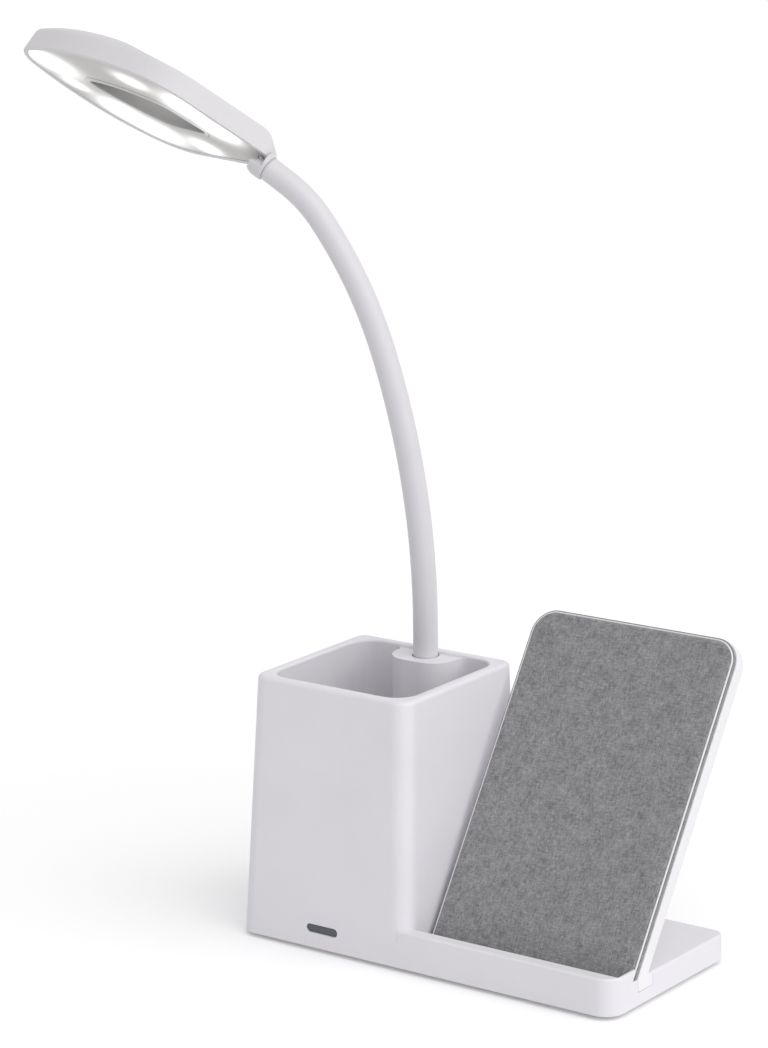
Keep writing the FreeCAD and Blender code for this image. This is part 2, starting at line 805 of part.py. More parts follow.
def stand_back_screws():
    screws = []
    for x, z in back_screw_places():
        turned = screw(0, 0, 0, stand_shell_depth - 2.2)
        turned.Placement = Placement(Vector(x, screw_head_height - back_screw_recess(), z),
                                     Rotation(Vector(1, 0, 0), 90))
        screws.append(turned)
    return in_stand_frame(Part.makeCompound(screws))


def charging_pad():
    face = -stand_shell_depth - frame_thickness
    slab = stand_outline(face - pad_thickness, face, pad_inset, ledge_level() + pad_gap)
    return in_stand_frame(round_edges(slab, 0.9, lambda e: e.BoundBox.YMax < face - pad_thickness + 0.05))


def ledge_pad():
    inner_y = front_y(floor_z + lip_height) + lip_depth
    slab = in_stand_frame(box(stand_left_x + 0.4, half_width - lip_side - pad_gap, pad_face - 40,
                              pad_face - pad_gap, ledge_level() - ledge_pad_thickness, ledge_level()))
    return slab.common(box(-200, 200, inner_y + 0.2, 200, 0, 60))


def charging_coil():
    face = -stand_shell_depth + 0.05
    centre = Vector(stand_middle_x, face, coil_height)
    outer = Part.makeCylinder(coil_outer_radius, coil_thickness, centre, Vector(0, 1, 0))
    inner = Part.makeCylinder(coil_inner_radius, coil_thickness, centre, Vector(0, 1, 0))
    return in_stand_frame(outer.cut(inner))


def ferrite_sheet():
    face = -stand_shell_depth + 0.05 + coil_thickness
    half = ferrite_side / 2
    return in_stand_frame(box(stand_middle_x - half, stand_middle_x + half, face, face + ferrite_thickness,
                              coil_height - half, coil_height + half))


def charger_board():
    x0 = charger_board_left_x()
    z0 = charger_board_low
    y = board_seat_y()
    plate = box(x0, x0 + charger_board_width, y - board_thickness, y, z0, z0 + charger_board_height)
    holes = [Part.makeCylinder(screw_radius + 0.1, 20, Vector(x, -15, z), Vector(0, 1, 0))
             for x, z in charger_board_screws()]
    return in_stand_frame(plate.cut(holes))


def charger_components():
    x0 = charger_board_left_x()
    z0 = charger_board_low
    y = board_seat_y() - board_thickness
    chip = box(x0 + 18, x0 + 25, y - 1.0, y, z0 + 9, z0 + 16)
    capacitors = [box(x0 + 29 + 4 * i, x0 + 32 + 4 * i, y - 1.4, y, z0 + 5, z0 + 10) for i in range(3)]
    socket = box(x0 + 1, x0 + 6, y - 1.6, y, z0 + charger_socket_low, z0 + charger_socket_low + 4)
    return in_stand_frame(Part.makeCompound([chip, socket] + capacitors))


def charger_board_screws_solid():
    screws = []
    y = board_seat_y() - board_thickness
    for x, z in charger_board_screws():
        upright = screw(0, 0, 0, 2.0)
        upright.Placement = Placement(Vector(x, y - screw_head_height, z), Rotation(Vector(1, 0, 0), -90))
        screws.append(upright)
    return in_stand_frame(Part.makeCompound(screws))


def charger_lead_y():
    lean = math.radians(stand_lean)
    level = charger_lead_z() - plate_top_z
    return stand_rear_y + level * math.tan(lean) + charger_lead_depth() / math.cos(lean)


def charger_lead_depth():
    """Where the lead lies in the stand, just in front of the charger board."""
    return board_seat_y() - board_thickness - lead_radius - 0.15


def charger_lead_z():
    return main_board_top_z() + lead_radius + 0.1


# ---------------------------------------------------------------- routes and tubes
def rounded_route(points, radius):
    """Straight runs between points, joined by tangent arcs."""
    edges = []
    start = points[0]
    for before, corner, after in zip(points, points[1:], points[2:]):
        u = (before - corner).normalize()
        v = (after - corner).normalize()
        half_angle = u.getAngle(v) / 2
        if abs(half_angle - math.pi / 2) < 1e-6:
            continue
        setback = radius / math.tan(half_angle)
        first = corner + u * setback
        last = corner + v * setback
        bisector = (u + v).normalize()
        middle = corner + bisector * (radius / math.sin(half_angle) - radius)
        edges.append(Part.makeLine(start, first))
        edges.append(Part.Arc(first, middle, last).toShape())
        start = last
    edges.append(Part.makeLine(start, points[-1]))
    return edges


def tube(edges, radius):
    spine = Part.Wire(edges)
    start = edges[0].valueAt(edges[0].FirstParameter)
    heading = edges[0].tangentAt(edges[0].FirstParameter)
    ring = Part.Wire(Part.makeCircle(radius, start, heading))
    return spine.makePipeShell([ring], True, True)


# ---------------------------------------------------------------- flexible neck
def bend_heading():
    angle = math.radians(neck_azimuth)
    return Vector(math.cos(angle), math.sin(angle), 0)


def neck_point(distance):
    """Point and direction on the neck's centreline, distance along it from the column top."""
    out = bend_heading()
    up = Vector(0, 0, 1)
    point = Vector(column_x, column_y, column_top_z)
    tilt = 0.0
    if distance <= neck_straight:
        return point + up * distance, up
    point = point + up * neck_straight
    left = distance - neck_straight
    for length, turn in neck_bends:
        radius = length / math.radians(turn)
        used = min(left, length)
        after = tilt + used / radius
        point = point + out * (radius * (math.cos(tilt) - math.cos(after)))
        point = point + up * (radius * (math.sin(after) - math.sin(tilt)))
        tilt = after
        left -= used
        if left <= 0:
            break
    heading = out * math.sin(tilt) + up * math.cos(tilt)
    return point + heading * max(left, 0.0), heading


def neck_length():
    return neck_straight + sum(length for length, _ in neck_bends)


def neck_edges(first, last):
    """Centreline edges between two distances; first lies on the lower straight run."""
    marks = [neck_straight]
    for length, _ in neck_bends:
        marks.append(marks[-1] + length)
    edges = [Part.makeLine(neck_point(first)[0], neck_point(neck_straight)[0])]
    for a, b in zip(marks, marks[1:]):
        edges.append(Part.Arc(neck_point(a)[0], neck_point((a + b) / 2)[0], neck_point(b)[0]).toShape())
    if last > marks[-1]:
        edges.append(Part.makeLine(neck_point(marks[-1])[0], neck_point(last)[0]))
    return edges


def joint_distance(i):
    """Distance along the neck of ball joint i, counted from 0 at the column."""
    pitch = (neck_length() - first_joint_rise) / (neck_joints - 1)
    return first_joint_rise + pitch * i


def along(shape, start, heading):
    """Stand a shape drawn along +Z at start, pointing along heading."""
    placed = shape.copy()
    placed.Placement = Placement(start, Rotation(Vector(0, 0, 1), heading))
    return placed


def ball_on_neck(z):
    """Ball at height z on a thin neck, on top of a round body that ends at the shoulder."""
    ball = Part.makeSphere(ball_radius, Vector(0, 0, z))
    stem = cylinder(ball_neck_radius, 0, 0, z - link_shoulder - 0.5, z)
    return [ball, stem]


def neck_link(i):
    """Hose link from ball joint i to ball joint i + 1: a socket below, a ball above, a bore for the lead."""
    start = neck_point(joint_distance(i))[0]
    end = neck_point(joint_distance(i + 1))[0]
    span = (end - start).Length
    body = cylinder(link_diameter / 2, 0, 0, -socket_lip, span - link_shoulder)
    link = fuse_all([body] + ball_on_neck(span))
    cavity = Part.makeSphere(ball_radius + socket_clearance, Vector(0, 0, 0))
    bore = cylinder(link_bore_radius, 0, 0, -5, span + 5)
    return along(link.cut([cavity, bore]), start, (end - start).normalize())


def neck_ferrule():
    """Steel end fitting: thread, flange on the column's shelf, and the first ball."""
    joint_z = column_top_z + first_joint_rise
    thread_end = -column_shelf_thickness - washer_thickness - nut_height - 2
    thread = cylinder(ferrule_thread_radius, 0, 0, thread_end, 0.2)
    flange = cylinder(ferrule_flange_radius, 0, 0, 0, ferrule_flange_height)
    top = joint_z - shelf_top_z
    body = cylinder(link_diameter / 2, 0, 0, 0.2, top - link_shoulder)
    bore = cylinder(link_bore_radius, 0, 0, -40, top + 5)
    fitting = fuse_all([thread, flange, body] + ball_on_neck(top)).cut(bore)
    return along(fitting, Vector(column_x, column_y, shelf_top_z), Vector(0, 0, 1))


def neck_washer():
    z1 = shelf_top_z - column_shelf_thickness
    ring = cylinder(column_bore_radius - 0.5, column_x, column_y, z1 - washer_thickness, z1)
    return ring.cut(cylinder(ferrule_thread_radius + 0.2, column_x, column_y, z1 - 5, z1 + 1))


def neck_nut():
    z1 = shelf_top_z - column_shelf_thickness - washer_thickness
    corner = nut_flats / 2 / math.cos(math.radians(30))
    points = [Vector(column_x + corner * math.cos(math.radians(60 * k)),
                     column_y + corner * math.sin(math.radians(60 * k)), z1 - nut_height) for k in range(7)]
    hexagon = Part.Face(Part.makePolygon(points)).extrude(Vector(0, 0, nut_height))
    return hexagon.cut(cylinder(ferrule_thread_radius + 0.02, column_x, column_y, z1 - 20, z1 + 1))


def sleeve_span():
    low = -column_shelf_depth + ferrule_flange_height + 0.2
    high = neck_length() + neck_end_run - collar_length - 0.05
    return low, high


def neck_sleeve():
    low, high = sleeve_span()
    edges = neck_edges(low, high)
    return tube(edges, neck_diameter / 2).cut(tube(edges, neck_bore / 2))


# ---------------------------------------------------------------- lamp head
def head_axes():
    """Nose direction, the direction of the raised front edge, and the direction of the roof."""
    rise = math.radians(head_elevation)
    nose = bend_heading() * math.cos(rise) + Vector(0, 0, math.sin(rise))
    level = Vector(0, 0, 1).cross(nose).normalize()
    upward = nose.cross(level).normalize()
    roll = math.radians(head_roll)
    edge = level * math.cos(roll) + upward * math.sin(roll)
    return nose, edge, nose.cross(edge)


def head_root():
    """Where the neck's axis enters the head."""
    return neck_point(neck_length() + neck_end_run)[0]


def in_head_frame(shape):
    """Place a shape drawn flat: X from root to nose, Y to the raised edge, Z from lit face to roof."""
    nose, edge, roof = head_axes()
    origin = head_root() - roof * collar_axis_height
    placed = shape.copy()
    placed.Placement = Placement(FreeCAD.Matrix(
        nose.x, edge.x, roof.x, origin.x,
        nose.y, edge.y, roof.y, origin.y,
        nose.z, edge.z, roof.z, origin.z,
        0, 0, 0, 1))
    return placed


def leaf_wire(start, end, widest, width, root_radius, nose_radius,
              shoulder_radius, flank_radius, inset, z):
    """Leaf outline drawn inwards by inset: round root, straight flanks, round shoulders and
    long curved sides that end in a round nose, each tangent to the next."""
    root = Vector(start + root_radius, 0, z)
    nose = Vector(end - nose_radius, 0, z)
    shoulder = Vector(widest, width / 2 - shoulder_radius, z)

    # Straight flank: common tangent of the root's circle and the shoulder's circle.
    across = shoulder - root
    lean = math.atan2(across.y, across.x) + math.acos((root_radius - shoulder_radius) / across.Length)
    flank_out = Vector(math.cos(lean), math.sin(lean), 0)

    # Centre of the long side: at its radius less each neighbour's radius from both centres.
    between = nose - shoulder
    to_shoulder = flank_radius - shoulder_radius
    to_nose = flank_radius - nose_radius
    along_line = (between.Length ** 2 + to_shoulder ** 2 - to_nose ** 2) / (2 * between.Length)
    off_line = math.sqrt(to_shoulder ** 2 - along_line ** 2)
    unit = Vector(between).normalize()
    side = shoulder + unit * along_line + Vector(unit.y, -unit.x, 0) * off_line
    side_start = (shoulder - side).normalize()
    side_end = (nose - side).normalize()
    side_middle = (side_start + side_end).normalize()
    shoulder_middle = (flank_out + side_start).normalize()

    root_radius -= inset
    nose_radius -= inset
    shoulder_radius -= inset
    flank_radius -= inset
    upper = [
        root + Vector(-root_radius, 0, 0),
        root + flank_out * root_radius,
        shoulder + flank_out * shoulder_radius,
        shoulder + shoulder_middle * shoulder_radius,
        shoulder + side_start * shoulder_radius,
        side + side_middle * flank_radius,
        nose + side_end * nose_radius,
        nose + Vector(nose_radius, 0, 0)]
    lower = [Vector(p.x, -p.y, z) for p in upper]
    edges = [
        Part.Arc(lower[1], upper[0], upper[1]).toShape(),
        Part.Arc(upper[6], upper[7], lower[6]).toShape()]
    for points in (upper, lower):
        edges.append(Part.makeLine(points[1], points[2]))
        edges.append(Part.Arc(points[2], points[3], points[4]).toShape())
        edges.append(Part.Arc(points[4], points[5], points[6]).toShape())
    return Part.Wire(Part.__sortEdges__(edges))


def head_prism(inset, z0, z1):
    wire = leaf_wire(0, head_length, head_widest, head_width, head_root_radius, head_nose_radius,
                     head_shoulder_radius, head_flank_radius, inset, z0)
    return Part.Face(wire).extrude(Vector(0, 0, z1 - z0))


def slot_prism(grow, z0, z1):
    wire = leaf_wire(slot_start, slot_end, slot_widest, slot_width, slot_tip_radius, slot_tip_radius,
                     slot_shoulder_radius, slot_flank_radius, -grow, z0)
    return Part.Face(wire).extrude(Vector(0, 0, z1 - z0))


def under_roof(drop):
    """Everything below the roof's line: round at the root, level, then swelling to the crown."""
    level_z = head_thickness - drop
    crown_z = head_crown - drop
    half_run = (head_crown_place - head_rise_start) / 2
    half_rise = (head_crown - head_thickness) / 2
    halfway = Vector(head_rise_start + half_run, 0, level_z + half_rise)
    rise_radius = (half_run ** 2 + half_rise ** 2) / (2 * half_rise)
    sag = rise_radius - math.sqrt(rise_radius ** 2 - half_run ** 2 / 4)
    quarter = head_root_round * (1 - math.sqrt(0.5))
    fall_x = head_length + head_edge_round
    nose_run = fall_x - head_crown_place
    nose_drop = (head_crown - head_nose_height) * (nose_run / (head_length - head_crown_place)) ** 2
    low = -head_width
    root_low = Vector(0, 0, level_z - head_root_round)
    root_high = Vector(head_root_round, 0, level_z)
    rise = Vector(head_rise_start, 0, level_z)
    crown = Vector(head_crown_place, 0, crown_z)
    end = Vector(fall_x, 0, crown_z - nose_drop)
    edges = [
        Part.makeLine(Vector(0, 0, low), root_low),
        Part.Arc(root_low, Vector(quarter, 0, level_z - quarter), root_high).toShape(),
        Part.makeLine(root_high, rise),
        Part.Arc(rise, Vector(rise.x + half_run / 2, 0, level_z + sag), halfway).toShape(),
        Part.Arc(halfway, Vector(crown.x - half_run / 2, 0, crown_z - sag), crown).toShape(),
        Part.Arc(crown, Vector(crown.x + nose_run / 2, 0, crown_z - nose_drop / 4), end).toShape(),
        Part.makeLine(end, Vector(fall_x, 0, low)),
        Part.makeLine(Vector(fall_x, 0, low), Vector(0, 0, low))]
    profile = Part.Face(Part.Wire(edges))
    profile.translate(Vector(0, -head_width, 0))
    return profile.extrude(Vector(0, 2 * head_width, 0))


def head_outside():
    """The head's outer form with its roof's edge rounded and its rim softened."""
    block = head_prism(0, 0, head_crown + head_rim_round)
    block = round_edges(block, head_edge_round, lambda e: level_edge(e, head_crown + head_rim_round))
    return block.common(under_roof(0))


def collar_axis():
    """The neck's end direction in the head's own axes."""
    heading = neck_point(neck_length())[1]
    nose, edge, roof = head_axes()
    return Vector(heading.dot(nose), heading.dot(edge), heading.dot(roof))


def led_board_screw_places():
    return (slot_start - 9.0, slot_end + 10.0)


def head_top_shell():
    hollow = head_prism(head_wall, -1, head_crown).common(under_roof(head_roof))
    slot_wall = slot_prism(head_wall, -1, head_crown)
    posts = [cylinder(2.2, x, 0, led_board_height + board_thickness, head_crown)
             for x in led_board_screw_places()]
    shell = head_outside().cut(cut_all(hollow, [slot_wall] + posts))
    shell = shell.cut(slot_prism(0, -5, head_crown + 5))
    axis = collar_axis()
    pilots = [cylinder(screw_radius + screw_clearance, x, 0, 0, head_thickness - 0.8)
              for x in led_board_screw_places()]
    ferrule_bore = Part.makeCylinder(link_diameter / 2, 20 + ferrule_reach, head_entry() - axis * 20, axis)
    shell = fuse_all([shell, collar_solid(0)]).cut(pilots + [ferrule_bore])
    return in_head_frame(shell).cut(tube(head_lead_route(), lead_radius + lead_clearance))


def head_entry():
    """Where the neck's axis meets the head's root, in the head's own axes."""
    return Vector(0, 0, collar_axis_height)


def collar_solid(grow):
    """Round-ended collar under the head's root, in the head's own axes.
    Two flat flanks keep it off the lit face."""
    axis = collar_axis()
    start = head_entry() - axis * collar_length
    radius = collar_radius + grow
    rod = Part.makeCylinder(radius, collar_length + collar_reach, start, axis)
    near = collar_length / 2
    rod = round_edges(rod, collar_round, lambda e: e.BoundBox.Center.distanceToPoint(start) < near)
    end = Part.makeSphere(radius, head_entry() + axis * collar_reach, axis, 0, 90, 360)
    raised = Part.makeBox(head_length, head_width, head_width, Vector(collar_length, 0, 0))
    raised.rotate(Vector(), Vector(1, 0, 0), -collar_keel_slope)
    raised.translate(Vector(0, collar_keel + grow, 0))
    slanting = Part.makeBox(head_length, head_width, head_width)
    slanting.rotate(Vector(), Vector(1, 0, 0), -collar_keel_slope)
    slanting.rotate(Vector(), Vector(0, 0, 1), -collar_turn)
    slanting.translate(Vector(collar_tip + grow, 0, 0))
    return fuse_all([rod, end]).cut([raised, slanting])


def head_lead_route():
    """From the last ball through the collar and up to the LED board."""
    nose, _, roof = head_axes()
    start, heading = neck_point(neck_length())
    turn = head_root() + heading * ferrule_reach
    board_side = led_board_height - lead_radius - 0.1 - collar_axis_height
    high = head_root() + nose * lead_entry + roof * board_side
    landing = high + nose * lead_landing
    return rounded_route([start, turn, high, landing], lead_bend - 1)


def head_ferrule():
    """Steel end fitting pressed into the head's collar, with the last socket."""
    start = neck_point(joint_distance(neck_joints - 1))[0]
    length = neck_end_run + ferrule_reach
    body = cylinder(link_diameter / 2, 0, 0, -socket_lip, length)
    cavity = Part.makeSphere(ball_radius + socket_clearance, Vector(0, 0, 0))
    bore = cylinder(link_bore_radius, 0, 0, -5, length + 5)
    return along(body.cut([cavity, bore]), start, neck_point(neck_length())[1])


def diffuser():
    gap = head_wall + diffuser_gap
    plate = head_prism(gap, diffuser_recess, diffuser_recess + diffuser_thickness)
    plate = in_head_frame(plate.cut([slot_prism(gap, -5, 10), collar_solid(diffuser_gap)]))
    return plate.cut(tube(head_lead_route(), lead_radius + lead_clearance))


def led_board():
    gap = head_wall + led_board_gap
    plate = head_prism(gap, led_board_height, led_board_height + board_thickness)
    holes = [cylinder(screw_radius + 0.1, x, 0, 0, 10) for x in led_board_screw_places()]
    root_end = box(-1, led_board_root, -head_width, head_width, 0, head_crown)
    return in_head_frame(plate.cut([slot_prism(gap, -5, 15), root_end] + holes))


def led_places():
    """Lamp chips in two rows that follow the sides of the slot, and one at each tip."""
    middle = head_length / 2
    reach = middle - head_root_radius - 12
    places = [(slot_start - 3.5, 0.0), (slot_end + 4.0, 0.0)]
    for i in range(leds_per_side):
        x = middle - reach + 2 * reach * i / (leds_per_side - 1)
        share = (x - middle) / middle
        y = (head_width / 2 * (1 - share ** 2) + slot_width / 4) / 2
        places += [(x, y), (x, -y)]
    return places


def leds():
    h = led_size / 2
    z = led_board_height
    return in_head_frame(Part.makeCompound(
        [box(x - h, x + h, y - h, y + h, z - led_height, z) for x, y in led_places()]))


def led_board_screws():
    screws = [screw(x, 0, led_board_height - screw_head_height, 2.2) for x in led_board_screw_places()]
    return in_head_frame(Part.makeCompound(screws))


# ---------------------------------------------------------------- leads
def lamp_lead():
    """Two-core lead from the main board up the column and the neck to the LED board."""
    z = main_board_top_z() + 1.6
    start = Vector(column_x, lamp_socket_y() + 0.1, z)
    corner = Vector(column_x, column_y, z)
    top = neck_point(0)[0]
    low = rounded_route([start, corner, top], lead_bend)
    return tube(low + neck_edges(0, neck_length()) + head_lead_route(), lead_radius)


def charger_lead():
    """Lead from the main board into the foot of the stand and up to the charger board."""
    z = charger_lead_z()
    y = charger_lead_y()
    lean = math.radians(stand_lean)
    up_slope = Vector(0, math.sin(lean), math.cos(lean))
    x1 = main_board_left_x() + main_board_width
    turn_x = charger_board_left_x() + 3.5
    start_level = (y - stand_rear_y) * math.sin(lean) + (z - plate_top_z) * math.cos(lean)
    rise = charger_board_low + charger_socket_low - start_level
    points = [
        Vector(x1 + 0.1, charger_socket_y(), z),
        Vector(x1 + 7, charger_socket_y(), z),
        Vector(x1 + 7, y, z),
        Vector(turn_x, y, z),
        Vector(turn_x, y, z) + up_slope * rise]
    return tube(rounded_route(points, lead_bend - 1), lead_radius)


def build():
    nodes = {
        "base_housing": base_housing(),
        "bottom_cover": bottom_cover(),
        "rubber_feet": rubber_feet(),
        "cover_screws": cover_screws(),
        "ballast_plate": ballast_plate(),
        "main_board": main_board(),
        "board_screws": board_screws(),
        "power_components": power_components(),
        "board_sockets": board_sockets(),
        "power_inlet": power_inlet(),
        "touch_window": touch_window(),
        "touch_board": touch_board(),
        "indicator_led": indicator_led(),
        "stand_rear_shell": stand_rear_shell(),
        "stand_front_frame": stand_front_frame(),
        "stand_screws": stand_screws(),
        "stand_back_screws": stand_back_screws(),
        "charging_pad": charging_pad(),
        "ledge_pad": ledge_pad(),
        "charging_coil": charging_coil(),
        "ferrite_sheet": ferrite_sheet(),
        "charger_board": charger_board(),
        "charger_board_screws": charger_board_screws_solid(),
        "charger_components": charger_components(),
        "charger_lead": charger_lead(),
        "neck_ferrule": neck_ferrule(),
        "neck_washer": neck_washer(),
        "neck_nut": neck_nut(),
        "neck_sleeve": neck_sleeve(),
        "lamp_lead": lamp_lead(),
        "head_ferrule": head_ferrule(),
        "head_top_shell": head_top_shell(),
        "diffuser": diffuser(),
        "led_board": led_board(),
        "led_board_screws": led_board_screws(),
        "leds": leds(),
    }
    for i in range(neck_joints - 1):
        nodes["neck_link_%02d" % (i + 1)] = neck_link(i)
    return nodes


os.makedirs("parts", exist_ok=True)
for node, shape in build().items():
    shape.exportStep("parts/%s.step" % node)
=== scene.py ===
import json
import math

import bmesh
import bpy
from mathutils import Matrix, Vector, noise


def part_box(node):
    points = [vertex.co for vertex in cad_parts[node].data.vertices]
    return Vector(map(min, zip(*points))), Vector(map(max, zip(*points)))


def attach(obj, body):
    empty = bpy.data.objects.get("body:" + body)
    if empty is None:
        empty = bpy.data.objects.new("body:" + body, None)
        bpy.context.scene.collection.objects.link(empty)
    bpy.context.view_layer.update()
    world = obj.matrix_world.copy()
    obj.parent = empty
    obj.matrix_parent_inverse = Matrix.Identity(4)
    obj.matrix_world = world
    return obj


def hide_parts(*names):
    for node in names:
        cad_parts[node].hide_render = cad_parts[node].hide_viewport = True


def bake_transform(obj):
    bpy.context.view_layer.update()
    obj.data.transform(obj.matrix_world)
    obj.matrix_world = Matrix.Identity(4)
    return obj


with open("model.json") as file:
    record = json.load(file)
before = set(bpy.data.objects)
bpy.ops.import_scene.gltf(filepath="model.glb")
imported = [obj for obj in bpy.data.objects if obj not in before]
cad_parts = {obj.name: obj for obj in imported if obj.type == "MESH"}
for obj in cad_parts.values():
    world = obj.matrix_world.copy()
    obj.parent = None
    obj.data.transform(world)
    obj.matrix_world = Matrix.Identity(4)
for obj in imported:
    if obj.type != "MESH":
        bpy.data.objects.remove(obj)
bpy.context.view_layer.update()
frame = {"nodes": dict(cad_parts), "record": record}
MM = 0.001

# ---------------------------------------------------------------- camera and stage
AZIMUTH, ELEVATION, ROLL = math.radians(36.34), math.radians(13.90), math.radians(-0.79)
CAMERA_PLACE = Vector((0.707307, -1.012738, 0.453830))
FOCAL_LENGTH, SENSOR_WIDTH = 180.84, 36.0

WORLD_COLOR = (0.99, 0.99, 1.0, 1)
WORLD_LIGHT, WORLD_SHOWN = 0.62, 1.0
KEY_TOWARD, KEY_STRENGTH, KEY_SPREAD, KEY_COLOR = (0.75, -0.12, 0.65), 1.6, 75, (1.0, 0.995, 0.99)
FLOOR_COLOR, FLOOR_SHOWN = (0.90, 0.90, 0.905), 0.17
FLOOR_HALF = 12.0


def link_object(name, data):
    made = bpy.data.objects.new(name, data)
    bpy.context.scene.collection.objects.link(made)
    return made


def axes_matrix(x_axis, y_axis, z_axis, origin):
    """Matrix with these axes and this origin."""
    return Matrix((
        (x_axis.x, y_axis.x, z_axis.x, origin.x),
        (x_axis.y, y_axis.y, z_axis.y, origin.y),
        (x_axis.z, y_axis.z, z_axis.z, origin.z),
        (0, 0, 0, 1)))


def make_camera():
    data = bpy.data.cameras.new("camera")
    data.sensor_width = SENSOR_WIDTH
    data.sensor_fit = "HORIZONTAL"
    data.lens = FOCAL_LENGTH
    data.clip_start = 0.05
    data.clip_end = 50.0
    camera = link_object("camera", data)
    right = Vector((math.cos(AZIMUTH), math.sin(AZIMUTH), 0))
    back = Vector((math.sin(AZIMUTH) * math.cos(ELEVATION),
                   -math.cos(AZIMUTH) * math.cos(ELEVATION), math.sin(ELEVATION)))
    up = back.cross(right)
    side = right * math.cos(ROLL) + up * math.sin(ROLL)
    top = up * math.cos(ROLL) - right * math.sin(ROLL)
    camera.matrix_world = axes_matrix(side, top, back, CAMERA_PLACE)
    bpy.context.scene.camera = camera


def sun(name, toward, strength, spread, color):
    """Very broad soft light from one direction."""
    data = bpy.data.lights.new(name, "SUN")
    data.energy = strength
    data.angle = math.radians(spread)
    data.color = color
    light = link_object(name, data)
    light.rotation_euler = Vector(toward).to_track_quat("Z", "Y").to_euler()


def shown(tree):
    """1 for rays that show a surface to the camera, also by way of gloss or glass, and 0 for the rest."""
    path = tree.nodes.new("ShaderNodeLightPath")
    seen = path.outputs["Is Camera Ray"]
    for kind in ("Is Glossy Ray", "Is Transmission Ray"):
        either = tree.nodes.new("ShaderNodeMath")
        either.operation = "MAXIMUM"
        tree.links.new(seen, either.inputs[0])
        tree.links.new(path.outputs[kind], either.inputs[1])
        seen = either.outputs[0]
    return seen


def make_stage():
    scene = bpy.context.scene
    scene.view_settings.view_transform = "Standard"
    world = bpy.data.worlds.new("studio")
    scene.world = world
    world.use_nodes = True
    tree = world.node_tree
    background = tree.nodes["Background"]
    background.inputs["Color"].default_value = WORLD_COLOR
    strength = tree.nodes.new("ShaderNodeMapRange")
    strength.inputs["To Min"].default_value = WORLD_LIGHT
    strength.inputs["To Max"].default_value = WORLD_SHOWN
    tree.links.new(shown(tree), strength.inputs["Value"])
    tree.links.new(strength.outputs["Result"], background.inputs["Strength"])
    sun("key", KEY_TOWARD, KEY_STRENGTH, KEY_SPREAD, KEY_COLOR)

    mesh = bpy.data.meshes.new("floor")
    corners = [(x * FLOOR_HALF, y * FLOOR_HALF, 0) for x, y in ((-1, -1), (1, -1), (1, 1), (-1, 1))]
    mesh.from_pydata(corners, [], [(0, 1, 2, 3)])
    floor = link_object("floor", mesh)
    mesh.materials.append(paper("floor_paper", FLOOR_COLOR, FLOOR_SHOWN))


# ---------------------------------------------------------------- materials
# Noise scales are per metre, and bump distances are in metres.
MOULD_GRAIN, MOULD_RELIEF = 2600.0, 0.00006
MOULD_FLOW, MOULD_GLOSS = 38.0, 140.0
METAL_GRAIN, METAL_RELIEF = 900.0, 0.00005


class Nodes:
    """Small helper that adds nodes to one material and wires them."""

    def __init__(self, name):
        self.material = bpy.data.materials.new(name)
        self.material.use_nodes = True
        self.tree = self.material.node_tree
        self.shader = self.tree.nodes["Principled BSDF"]
        self.coords = self.add("ShaderNodeTexCoord").outputs["Object"]

    def add(self, kind, **settings):
        node = self.tree.nodes.new(kind)
        for key, value in settings.items():
            setattr(node, key, value)
        return node

    def link(self, source, target):
        self.tree.links.new(source, target)

    def noise(self, scale, detail=2.0, stretch=(1, 1, 1), distortion=0.0):
        mapping = self.add("ShaderNodeMapping")
        mapping.inputs["Scale"].default_value = stretch
        self.link(self.coords, mapping.inputs["Vector"])
        node = self.add("ShaderNodeTexNoise")
        node.inputs["Scale"].default_value = scale
        node.inputs["Detail"].default_value = detail
        node.inputs["Distortion"].default_value = distortion
        self.link(mapping.outputs["Vector"], node.inputs["Vector"])
        return node.outputs["Fac"]

    def spread(self, source, low, high, from_low=0.3, from_high=0.7):
        node = self.add("ShaderNodeMapRange")
        node.inputs["From Min"].default_value = from_low
        node.inputs["From Max"].default_value = from_high
        node.inputs["To Min"].default_value = low
        node.inputs["To Max"].default_value = high
        self.link(source, node.inputs["Value"])
        return node.outputs["Result"]

    def blend(self, factor, dark, light):
        """Colour between dark and light. Inputs 6 and 7 and output 2 of a Mix node are for colours."""
        node = self.add("ShaderNodeMix", data_type="RGBA")
        self.link(factor, node.inputs["Factor"])
        for socket, color in ((node.inputs[6], dark), (node.inputs[7], light)):
            if isinstance(color, bpy.types.NodeSocket):
                self.link(color, socket)
            else:
                socket.default_value = (*color, 1)
        return node.outputs[2]

    def clouded(self, source, color, variation):
        """The colour, darker and lighter by a share as the source goes."""
        return self.blend(self.spread(source, 0, 1), shade(color, 1 - variation), shade(color, 1 + variation))

    def math(self, operation, first, second):
        node = self.add("ShaderNodeMath", operation=operation)
        for socket, source in zip(node.inputs, (first, second)):
            if isinstance(source, bpy.types.NodeSocket):
                self.link(source, socket)
            else:
                socket.default_value = source
        return node.outputs[0]

    def bump(self, height, strength, distance):
        node = self.add("ShaderNodeBump")
        node.inputs["Strength"].default_value = strength
        node.inputs["Distance"].default_value = distance
        self.link(height, node.inputs["Height"])
        self.link(node.outputs["Normal"], self.shader.inputs["Normal"])


def shade(color, factor):
    return tuple(min(1.0, c * factor) for c in color)


def moulded(n, roughness, relief):
    """The uneven gloss and fine spark-eroded grain of moulded plastic."""
    gloss = n.spread(n.noise(MOULD_GLOSS, 2.0), roughness * 0.9, roughness * 1.12)
    n.link(gloss, n.shader.inputs["Roughness"])
    n.bump(n.noise(MOULD_GRAIN, 3.0), relief, MOULD_RELIEF)


